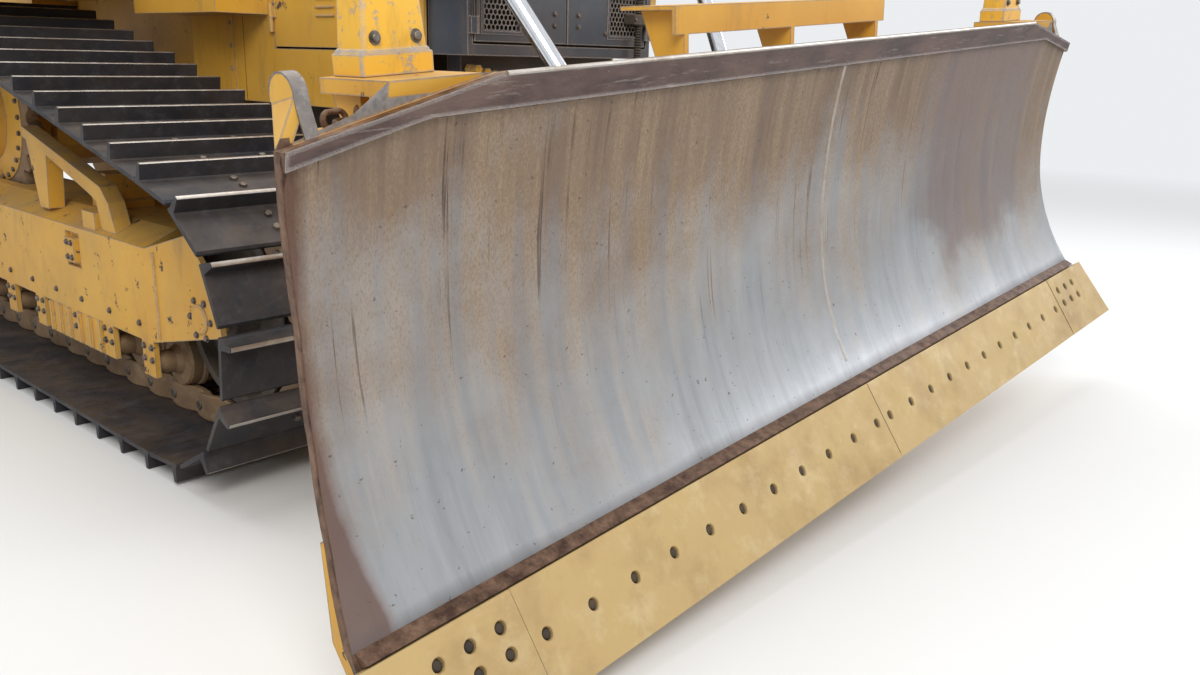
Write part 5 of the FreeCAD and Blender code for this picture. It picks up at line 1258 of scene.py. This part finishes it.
def makeStacks():
    top = 2.180
    out = row([(-0.240, -0.420, top)])
    turned("exhaustBase", out, [(0.0004, 0.01), (0.0004, 0.088), (0.004, 0.0895), (0.036, 0.0895), (0.040, 0.086),
                                (0.040, 0.01)], blackPaint, "chassis", "black_paint", 48, "exhaust_stack")
    turned("exhaustGuard", out, [(0.030, 0.01), (0.030, 0.0765), (0.034, 0.0775), (0.444, 0.0775), (0.450, 0.075),
                                 (0.450, 0.01)], castIron, "chassis", "black_paint")
    turned("exhaustPipe", out, [(0.430, 0.01), (0.430, 0.0515), (0.676, 0.0515), (0.680, 0.049), (0.680, 0.045),
                                (0.500, 0.045), (0.500, 0.002)], rustySteel, "chassis", "black_paint")
    # slots round the guard tube: thin near-black discs, painted shade standing for the openings
    angle = np.arange(10) * 2 * math.pi / 10
    spots, away = [], []
    for level in (0.09, 0.16, 0.23, 0.30, 0.37):
        for a in angle:
            spots.append((out[0][0] + 0.0768 * math.cos(a), out[0][1] + 0.0768 * math.sin(a), top + level))
            away.append((math.cos(a), math.sin(a), 0))
    studs("exhaustSlots", spots, away, [(0.0135, -0.002), (0.0135, 0.0007), (0.0125, 0.0009)], darkHole, "chassis", "black_paint", sides=10)
    air = row([(0.240, -0.420, top)])
    turned("airStem", air, [(0.0004, 0.01), (0.0004, 0.0675), (0.020, 0.0695), (0.060, 0.0600), (0.300, 0.0600),
                            (0.300, 0.01)], blackPlastic, "chassis", "plastic", 48, "precleaner")
    turned("airBowl", air, [(0.298, 0.01), (0.300, 0.070), (0.306, 0.100), (0.318, 0.120), (0.330, 0.1235),
                            (0.338, 0.1240), (0.340, 0.1215), (0.346, 0.1215), (0.348, 0.1240), (0.404, 0.1235),
                            (0.430, 0.114), (0.444, 0.095), (0.450, 0.070), (0.452, 0.01)], blackPlastic, "chassis", "plastic", 64)
    turned("airLid", air, [(0.448, 0.01), (0.449, 0.0580), (0.470, 0.0590), (0.494, 0.050), (0.499, 0.030), (0.4995, 0.004)],
           blackPlastic, "chassis", "plastic")
    # vents round the bowl: thin near-black discs, painted shade standing for the openings
    vanes = np.array([(0.1236, a) for a in np.arange(0, 360, 12)])
    spots = [(air[0][0] + 0.1232 * math.cos(math.radians(a)), air[0][1] + 0.1232 * math.sin(math.radians(a)), top + 0.376)
             for _, a in vanes]
    away = [(math.cos(math.radians(a)), math.sin(math.radians(a)), 0) for _, a in vanes]
    studs("airVents", spots, away, [(0.0085, -0.001), (0.0085, 0.0009), (0.0075, 0.0010)], darkHole, "chassis", "plastic", sides=8)


def makeLamps():
    # x, y of the back, z, direction
    table = [(s * x, y, z, way) for x, y, z, way in ((0.620, 0.460, 3.090, -1), (0.620, 2.070, 3.090, 1),
                                                     (0.430, -1.590, 2.122, -1)) for s in (1, -1)]
    cases, rims, lenses = [], [], []
    for x, y, z, way in table:
        y += machine["shift"] + way * 0.0003
        rings = []
        for out, half, high in ((0.000, 0.050, 0.0170), (0.012, 0.068, 0.0220), (0.050, 0.0745, 0.0237), (0.0595, 0.0745, 0.0237),
                                (0.0595, 0.0700, 0.0195), (0.052, 0.0690, 0.0185)):
            ring = blendRing((half, high), 0.008, 0.0)
            rings.append(np.stack((ring[:, 0] + x, np.full(len(ring), y + way * out), ring[:, 1] + z), -1))
        cases.append(np.stack(rings))
        glass = []
        for out, half, high in ((0.0515, 0.0690, 0.0185), (0.0545, 0.0660, 0.0165), (0.0560, 0.045, 0.010)):
            ring = blendRing((half, high), 0.006, 0.0)
            glass.append(np.stack((ring[:, 0] + x, np.full(len(ring), y + way * out), ring[:, 1] + z), -1))
        lenses.append(np.stack(glass))
    body = ringSolids("lampCases", np.stack(cases), blackPlastic, "chassis", "plastic", smooth=40)
    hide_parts("lamps")
    ringSolids("lampLenses", np.stack(lenses), lampLens, "chassis", "glass", smooth=30)


def cushion(name, half, low, high, centre, tilt):
    # a rounded slab with a crown and a sewn seam round its middle
    levels = np.array([0.0, 0.06, 0.2, 0.42, 0.49, 0.51, 0.58, 0.8, 0.93, 0.98, 1.0])
    shrink = np.array([0.045, 0.018, 0.004, 0.0, 0.0045, 0.0045, 0.0, 0.004, 0.020, 0.055, 0.10])
    rings = []
    for level, inset in zip(levels, shrink):
        ring = blendRing((half[0] - inset, half[1] - inset), 0.055, 0.0)
        crown = 0.012 * np.cos(ring[:, 0] / half[0] * 1.3) * np.cos(ring[:, 1] / half[1] * 1.3) if level > 0.9 else 0.0
        ring[:, 2] = low + (high - 0.013 - low) * level + crown
        rings.append(ring)
    rings = np.stack(rings)
    turn = np.array(Matrix.Rotation(math.radians(tilt), 3, "X"))
    piece = ringSolids(name, row(rings @ turn.T + np.array(centre)), seatCloth, "chassis", "seat_cloth", smooth=50)
    return piece


def makeSeat():
    z = 1.8033
    base = row([(0, 0, 0)])[0]
    boxes = [(-0.19, 0.19, 0.98, 1.38, z, z + 0.26), (-0.175, 0.175, 0.93, 1.40, z + 0.225, z + 0.262),
             (-0.300, -0.265, 1.29, 1.35, z + 0.30, z + 0.44), (0.265, 0.300, 1.29, 1.35, z + 0.30, z + 0.44)]
    table = np.array(boxes) + np.array([0, 0, base[1], base[1], 0, 0])
    stand = chamferedBoxes("seatStand", table, blackPlastic, "chassis", "plastic", 0.008)
    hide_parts("operator_seat")
    cushion("seatCushion", (0.250, 0.247), z + 0.262, z + 0.379, (0, 1.160, 0), 0.0)
    cushion("seatBack", (0.235, 0.285), -0.045, 0.048, (0, 1.462, z + 0.690), 79.0)
    for s, label in ((1, "Left"), (-1, "Right")):
        arm = [(s * 0.300 - 0.034, s * 0.300 + 0.034, 0.99 + base[1], 1.37 + base[1], z + 0.442, z + 0.498)]
        chamferedBoxes("armRest" + label, arm, seatCloth, "chassis", "seat_cloth", 0.014)


def makeSeams():
    # bolted edge of the step and the deck, and the side seam and crease of the fixed sheet
    spots, away = [], []
    for s in (1, -1):
        for y in np.arange(-0.26, 0.42, 0.112):
            spots.append((s * 0.770, y, 1.652))
            away.append((s * 1.0, 0, 0))
        for y in np.arange(0.50, 2.0, 0.145):
            spots.append((s * 1.500, y, 1.716))
            away.append((s * 1.0, 0, 0))
        for x in np.arange(0.82, 1.46, 0.125):
            spots.append((s * x, 0.430, 1.716))
            away.append((0, -1.0, 0))
        for x in (0.56, 0.64, 0.72):
            spots.append((s * x, -0.300, 1.640))
            away.append((0, -1.0, 0))
        for z in np.arange(1.24, 2.04, 0.10):
            spots.append((s * 0.5285, 0.030, z))
            away.append((s * 1.0, 0, 0))
    studs("sheetBolts", row(spots), away, [(0.0125, -0.001), (0.0125, 0.0012), (0.0085, 0.0012), (0.0085, 0.0062), (0.0068, 0.0076)],
          yellowPaint, "chassis", "yellow_paint", sides=6)
    strips, lines = [], []
    for s in (1, -1):
        strips.append(sorted((s * 0.5245, s * 0.5285)) + [0.005, 0.055, 1.202, 2.068])
        lines.append(sorted((s * 0.5240, s * 0.5256)) + [-0.0815, -0.0785, 1.204, 2.066])
    shift = np.array([0, 0, machine["shift"], machine["shift"], 0, 0])
    chamferedBoxes("seamStrips", np.array(strips) + shift, yellowPaint, "chassis", "yellow_paint", 0.0015)
    chamferedBoxes("seamLines", np.array(lines) + shift, darkHole, "chassis", "yellow_paint", 0.0003)
    # raised beads pressed into the engine doors, and their latches
    for s, label in ((1, "left"), (-1, "right")):
        body = "engine_door_" + label
        louvres = [sorted((s * 0.5245, s * 0.5320)) + [y, y + 0.130, z, z + 0.010]
                   for z in np.arange(1.56, 1.90, 0.034) for y in (-1.12, -0.96, -0.80)]
        chamferedBoxes("louvres" + label.title(), np.array(louvres) + shift, yellowPaint, body, "yellow_paint", 0.003)
        latch = [sorted((s * 0.5245, s * 0.5330)) + [-1.285, -1.215, 1.70, 1.76]]
        chamferedBoxes("latch" + label.title(), np.array(latch) + shift, blackPlastic, body, "plastic", 0.004)


def makeTank():
    cap = row([(0.460, 2.190, 2.050)])
    turned("tankCap", cap, [(0.0003, 0.01), (0.0003, 0.061), (0.030, 0.061), (0.0445, 0.052), (0.0448, 0.01)], blackPlastic,
           "chassis", "plastic", 24)


def makeFrameDetails():
    # bolts on the guards, end caps of the roller axles and the stop blocks
    spots, away = [], []
    outer = track["centre"] + 0.235
    for s in (1, -1):
        for y in rollerYs - machine["shift"]:
            for dz in (-0.020, 0.028):
                for dy in (-0.030, 0.030):
                    spots.append((s * outer, y + dy, 0.320 + dz))
                    away.append((s * 1.0, 0, 0))
        for y in np.arange(-0.74, 1.60, 0.26):
            spots.append((s * outer, y, 0.430))
            away.append((s * 1.0, 0, 0))
        for y0 in (-1.222, 2.053):
            for a in np.arange(6) * math.pi / 3:
                spots.append((s * outer, y0 + 0.070 * math.cos(a), 0.533 + 0.070 * math.sin(a)))
                away.append((s * 1.0, 0, 0))
        for y, z in ((-0.205, 0.600), (-0.165, 0.600), (-0.205, 0.660), (-0.165, 0.660)):
            spots.append((s * (outer + 0.014), y, z))
            away.append((s * 1.0, 0, 0))
    studs("frameBolts", row(spots), away, [(0.0145, -0.001), (0.0145, 0.0015), (0.0105, 0.0015), (0.0105, 0.0075), (0.0085, 0.0092)],
          boltSteel, "chassis", "shoe_steel", sides=6)
    # welded nose bead
    beads = []
    for s in (1, -1):
        z = np.linspace(0.40, 0.72, 40)
        y = np.full(40, -0.905)
        x = np.full(40, s * (outer + 0.0005))
        beads.append(np.stack((x, y + machine["shift"], z), -1))
    for s, path in zip((1, -1), beads):
        sweepTube("noseBead" + ("Left" if s > 0 else "Right"), path, 0.007, yellowDusty, "chassis", "yellow_paint", sides=10)
    caps = [(s * (outer - 0.001), y + machine["shift"], 0.533) for s in (1, -1) for y in (-1.222, 2.053)]
    for s in (1, -1):
        own = [c for c in caps if c[0] * s > 0]
        lathe("idlerCaps" + ("Left" if s > 0 else "Right"), own, (s, 0, 0),
              [(0, 0.005), (0, 0.052), (0.006, 0.052), (0.010, 0.046), (0.012, 0.005)], yellowDusty, "chassis", "yellow_paint", sides=36)


makeStacks()
makeLamps()
makeSeat()
makeSeams()
makeTank()
makeFrameDetails()
print("body details ready")


cabDoor = {
    "x": (0.760, 0.796), "y": (0.648, 1.552), "z": (1.831, 2.962), "stile": 0.080, "middle": (2.170, 2.270),
    "pane": (0.774, 0.780), "hinge": (0.814, 1.556), "knuckles": (2.000, 2.400, 2.800), "knuckle": 0.060,
}


def cabDoorRings():
    # window and panel openings: y0, y1, z0, z1
    d = cabDoor
    y0, y1 = d["y"][0] + d["stile"], d["y"][1] - d["stile"]
    return [(y0, y1, d["middle"][1], d["z"][1] - d["stile"]), (y0, y1, d["z"][0] + d["stile"], d["middle"][0])]


def sideFrame(outer, inner, x0, x1, chamfer):
    # frameLoop turned to lie in a side plane
    loop = frameLoop(outer, inner, x0, x1, chamfer)
    return loop[..., [1, 0, 2]]


def makeCabDoors():
    d = cabDoor
    for side, label in ((1, "Left"), (-1, "Right")):
        body = "cab_door_" + label.lower()
        x0, x1 = d["x"]
        (y0, y1), (z0, z1), edge0 = d["y"], d["z"], d["stile"]
        bars = [(x0, x1, y0, y0 + edge0, z0, z1), (x0, x1, y1 - edge0, y1, z0, z1),
                (x0, x1, y0 + edge0, y1 - edge0, z1 - edge0, z1), (x0, x1, y0 + edge0, y1 - edge0, *d["middle"]),
                (x0, x1, y0 + edge0, y1 - edge0, z0, z0 + edge0)]
        place = lambda p, s=side: row(p) * np.array([s, 1, 1])
        leaf = chamferedBoxes("cabDoorFrame" + label, bars, blackPaint, body, "black_paint", 0.004, place)
        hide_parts(body)
        panes, seals = [], []
        for a0, a1, b0, b1 in cabDoorRings():
            panes.append((*d["pane"], a0 - 0.005, a1 + 0.005, b0 - 0.005, b1 + 0.005))
            for depth in (x1 - 0.004, x0 + 0.004):
                step = 0.0055 if depth > 0.78 else -0.0055
                seals.append(sideFrame((a0 - 0.004, a1 + 0.004, b0 - 0.004, b1 + 0.004), (a0 + 0.014, a1 - 0.014, b0 + 0.014, b1 - 0.014),
                                       depth + step, depth - step, 0.001))
        chamferedBoxes("cabDoorPane" + label, panes, cabPane, body, "glass", 0.0006, place)
        closedLoops("cabDoorSeal" + label, place(np.array(seals)), blackRubber, body, "plastic", smooth=35)
        # pull handle and latch, near the front edge
        grip = smoothPath([(x1 - 0.002, 0.690, 2.235), (x1 + 0.030, 0.690, 2.245), (x1 + 0.036, 0.690, 2.32),
                           (x1 + 0.036, 0.690, 2.48), (x1 + 0.030, 0.690, 2.555), (x1 - 0.002, 0.690, 2.565)], 6)
        sweepTube("cabDoorGrip" + label, place(grip), 0.009, blackPlastic, body, "plastic", sides=12, smooth=50)
        chamferedBoxes("cabDoorLatch" + label, [(x1 - 0.001, x1 + 0.014, 0.664, 0.718, 2.12, 2.18)], blackPlastic, body, "plastic",
                       0.004, place)
        pins = place(np.array([(*d["hinge"], z) for z in d["knuckles"]]))
        lathe("cabDoorKnuckle" + label, pins, (0, 0, 1), [(0.0005, 0.004), (0.0005, 0.0090), (0.002, 0.010), (0.058, 0.010),
                                                         (0.0595, 0.009), (0.0595, 0.004)], blackPaint, body, "black_paint", sides=20)
        leafs = [(x1 - 0.004, d["hinge"][0], 1.510, 1.554, z + 0.001, z + d["knuckle"] - 0.001) for z in d["knuckles"]]
        chamferedBoxes("cabHingeLeaf" + label, leafs, blackPaint, body, "black_paint", 0.002, place)


def makeCabTrim():
    # rubber round the fixed panes, wipers, and rails by the doors
    front, rear, side = [], [], []
    for y, out in ((0.520, -1), (2.010, 1)):
        z0 = 1.980 if out < 0 else 2.230
        loop = frameLoop((-0.694, 0.694, z0 - 0.004, 2.974), (-0.674, 0.674, z0 + 0.016, 2.954), y + out * 0.0045, y - out * 0.010, 0.001)
        (front if out < 0 else rear).append(row(loop))
    closedLoops("frontWindowSeal", np.array(front), blackRubber, "chassis", "plastic", smooth=35)
    closedLoops("rearWindowSeal", np.array(rear), blackRubber, "chassis", "plastic", smooth=35)
    for s in (1, -1):
        loop = sideFrame((1.636, 1.904, 2.226, 2.974), (1.654, 1.886, 2.246, 2.956), s * 0.8045, s * 0.790, 0.001)
        side.append(row(loop))
    closedLoops("sideWindowSeals", np.array(side), blackRubber, "chassis", "plastic", smooth=35)
    wiper = row(smoothPath([(-0.10, 0.512, 2.020), (-0.13, 0.503, 2.10), (-0.20, 0.502, 2.38), (-0.27, 0.506, 2.62)], 8))
    sweepTube("frontWiperArm", wiper, 0.006, blackPlastic, "chassis", "plastic", sides=8, smooth=60)
    bladeBar = row(np.linspace((-0.36, 0.512, 2.36), (-0.12, 0.512, 2.80), 12))
    sweepTube("frontWiperBlade", bladeBar, 0.0065, blackRubber, "chassis", "plastic", sides=8, smooth=60)
    wiper = row(smoothPath([(0.10, 2.018, 2.262), (0.12, 2.027, 2.32), (0.18, 2.028, 2.50), (0.24, 2.022, 2.66)], 8))
    sweepTube("rearWiperArm", wiper, 0.006, blackPlastic, "chassis", "plastic", sides=8, smooth=60)
    for s, label in ((1, "Left"), (-1, "Right")):
        rail = smoothPath([(s * 0.799, 0.575, 2.05), (s * 0.838, 0.575, 2.06), (s * 0.846, 0.575, 2.12), (s * 0.846, 0.575, 2.66),
                           (s * 0.838, 0.575, 2.72), (s * 0.799, 0.575, 2.73)], 6)
        sweepTube("cabRail" + label, row(rail), 0.0125, blackPaint, "chassis", "black_paint", sides=14, smooth=50)


def makeDeckTread():
    # raised tear-shaped bars of the deck's tread sheet, in alternating directions
    bars = []
    for s in (1, -1):
        for i, x in enumerate(np.arange(0.90, 1.46, 0.060)):
            for j, y in enumerate(np.arange(0.50, 1.98, 0.060)):
                turn = math.radians(45 if (i + j) % 2 else -45)
                bars.append((s * x, y, turn))
    bars = np.array(bars)
    angle = np.arange(8) * 2 * math.pi / 8
    rings = []
    for scale, lift in ((1.0, -0.001), (1.0, 0.0008), (0.62, 0.0022)):
        a, b = 0.0165 * np.cos(angle) * scale, 0.0045 * np.sin(angle) * scale
        x = bars[:, 0:1] + a * np.cos(bars[:, 2:3]) - b * np.sin(bars[:, 2:3])
        y = bars[:, 1:2] + a * np.sin(bars[:, 2:3]) + b * np.cos(bars[:, 2:3])
        rings.append(np.stack((x, y, np.full_like(x, 1.763 + lift)), -1))
    ringSolids("deckTread", row(np.stack(rings, 1)), yellowPaint, "chassis", "yellow_paint", smooth=50)


def makeConsole():
    # gauges, pedals, armrest controls on the stand and boxes already there
    dials = row([(-0.09, 0.640, 2.462), (0.0, 0.632, 2.470), (0.09, 0.640, 2.462)])
    lathe("gauges", dials, (0, 0.55, 0.84), [(0.0, 0.010), (0.0, 0.036), (0.008, 0.036), (0.010, 0.032), (0.006, 0.030), (0.006, 0.002)],
          blackPlastic, "chassis", "plastic", sides=28)
    knobs = row([(0.470, 0.916, 2.505), (-0.470, 0.916, 2.505)])
    lathe("leverKnobs", knobs, (0, -0.2, 1), [(0.0, 0.012), (0.002, 0.020), (0.020, 0.027), (0.050, 0.024), (0.064, 0.012), (0.066, 0.002)],
          blackRubber, "chassis", "plastic", sides=24)
    boots = row([(0.470, 0.956, 2.318), (-0.470, 0.956, 2.318)])
    lathe("leverBoots", boots, (0, -0.2, 1), [(0.0, 0.02), (0.004, 0.050), (0.012, 0.046), (0.018, 0.050), (0.026, 0.036), (0.032, 0.040),
                                               (0.042, 0.022), (0.048, 0.016), (0.048, 0.008)], blackRubber, "chassis", "plastic", sides=24)
    pedals = [(-0.13, -0.04, 0.800, 0.812, 1.90, 2.00), (0.04, 0.13, 0.800, 0.812, 1.90, 2.00)]
    shift = machine["shift"]
    table = np.array(pedals) + np.array([0, 0, shift, shift, 0, 0])
    chamferedBoxes("pedals", table, blackRubber, "chassis", "plastic", 0.003)
    arms = row([(x, 0.800, 1.95) for x in (-0.085, 0.085)])
    studs("pedalArms", arms, np.broadcast_to((0, -0.9, 0.2), (2, 3)), [(0.008, -0.004), (0.008, 0.14)], castIron, "chassis", "plastic", sides=10)


makeCabDoors()
makeCabTrim()
makeDeckTread()
makeConsole()
print("cab ready")


view = {
    "place": (-2.9946, -4.3497, 1.4303), "right": (0.67209, -0.74007, 0.02438),
    "down": (-0.17999, -0.19521, -0.9641), "ahead": (0.71826, 0.64357, -0.26441), "lens": 30.69,
}


def floorMaterial():
    # pale floor whose far part shows as bright as the backdrop to the camera
    material, w, shader, place = startMaterial("floorPale")
    w.put(shader.inputs["Base Color"], w.mix(w.noise(place, 0.8, 3.0), (0.74, 0.74, 0.73), (0.72, 0.72, 0.71)))
    shader.inputs["Roughness"].default_value = 0.85
    distance = w.add("VectorMath", {0: place}, operation="LENGTH").outputs["Value"]
    far = w.math("MULTIPLY", w.span(distance, 5.0, 13.0), w.add("LightPath").outputs["Is Camera Ray"])
    shown = w.add("Emission", {"Color": (0.93, 0.95, 0.97, 1), "Strength": 0.9})
    blend = w.add("MixShader", {0: far, 1: shader.outputs[0], 2: shown.outputs[0]})
    out = next(n for n in w.nodes if n.type == "OUTPUT_MATERIAL")
    w.put(out.inputs[0], blend.outputs[0])
    return material


def makeStage():
    mesh = bpy.data.meshes.new("studioFloor")
    reach = 90.0
    mesh.from_pydata([(-reach, -reach, 0), (reach, -reach, 0), (reach, reach, 0), (-reach, reach, 0)], [], [(0, 1, 2, 3)])
    floor = bpy.data.objects.new("studioFloor", mesh)
    scene.collection.objects.link(floor)
    mesh.materials.append(floorMaterial())


def areaLamp(name, place, target, size, power, colour=(1, 1, 1)):
    lamp = bpy.data.lights.new(name, "AREA")
    lamp.shape = "RECTANGLE"
    lamp.size, lamp.size_y = size
    lamp.energy = power
    lamp.color = colour
    holder = bpy.data.objects.new(name, lamp)
    direction = Vector(target) - Vector(place)
    holder.location = place
    holder.rotation_euler = direction.to_track_quat("-Z", "Y").to_euler()
    scene.collection.objects.link(holder)


def makeLight():
    world = bpy.data.worlds.new("studio")
    scene.world = world
    world.use_nodes = True
    world.node_tree.nodes.clear()
    w = Wiring(world.node_tree)
    path = w.add("LightPath").outputs
    seen = w.math("MAXIMUM", path["Is Camera Ray"], w.math("MAXIMUM", path["Is Glossy Ray"], path["Is Transmission Ray"]))
    soft = w.add("Background", {"Color": (0.95, 0.97, 1.0, 1), "Strength": 0.55})
    shown = w.add("Background", {"Color": (0.93, 0.95, 0.97, 1), "Strength": 0.9})
    blend = w.add("MixShader", {0: seen, 1: soft.outputs[0], 2: shown.outputs[0]})
    out = w.add("OutputWorld")
    w.put(out.inputs[0], blend.outputs[0])
    areaLamp("keySoft", (-5.5, -7.5, 6.5), (0, -1.5, 0.8), (5.0, 4.0), 620, (1.0, 0.98, 0.95))
    areaLamp("fillSoft", (6.5, -5.0, 4.5), (0, -1.0, 1.0), (5.0, 4.0), 260, (0.93, 0.96, 1.0))
    areaLamp("topSoft", (0, 1.0, 8.5), (0, 0, 1.0), (7.0, 7.0), 420)
    areaLamp("backSoft", (2.0, 8.5, 5.0), (0, 0.5, 1.2), (5.0, 3.5), 260)


def makeCamera():
    camera = bpy.data.cameras.new("photoCamera")
    camera.sensor_fit = "HORIZONTAL"
    camera.sensor_width = 36.0
    camera.lens = view["lens"]
    camera.clip_end = 200.0
    holder = bpy.data.objects.new("photoCamera", camera)
    right, down, forward = (Vector(view[k]).normalized() for k in ("right", "down", "ahead"))
    basis = Matrix((right, -down, -forward)).transposed()
    holder.matrix_world = Matrix.Translation(view["place"]) @ basis.to_4x4()
    scene.collection.objects.link(holder)
    scene.camera = holder


makeStage()
makeLight()
makeCamera()
print("stage ready")
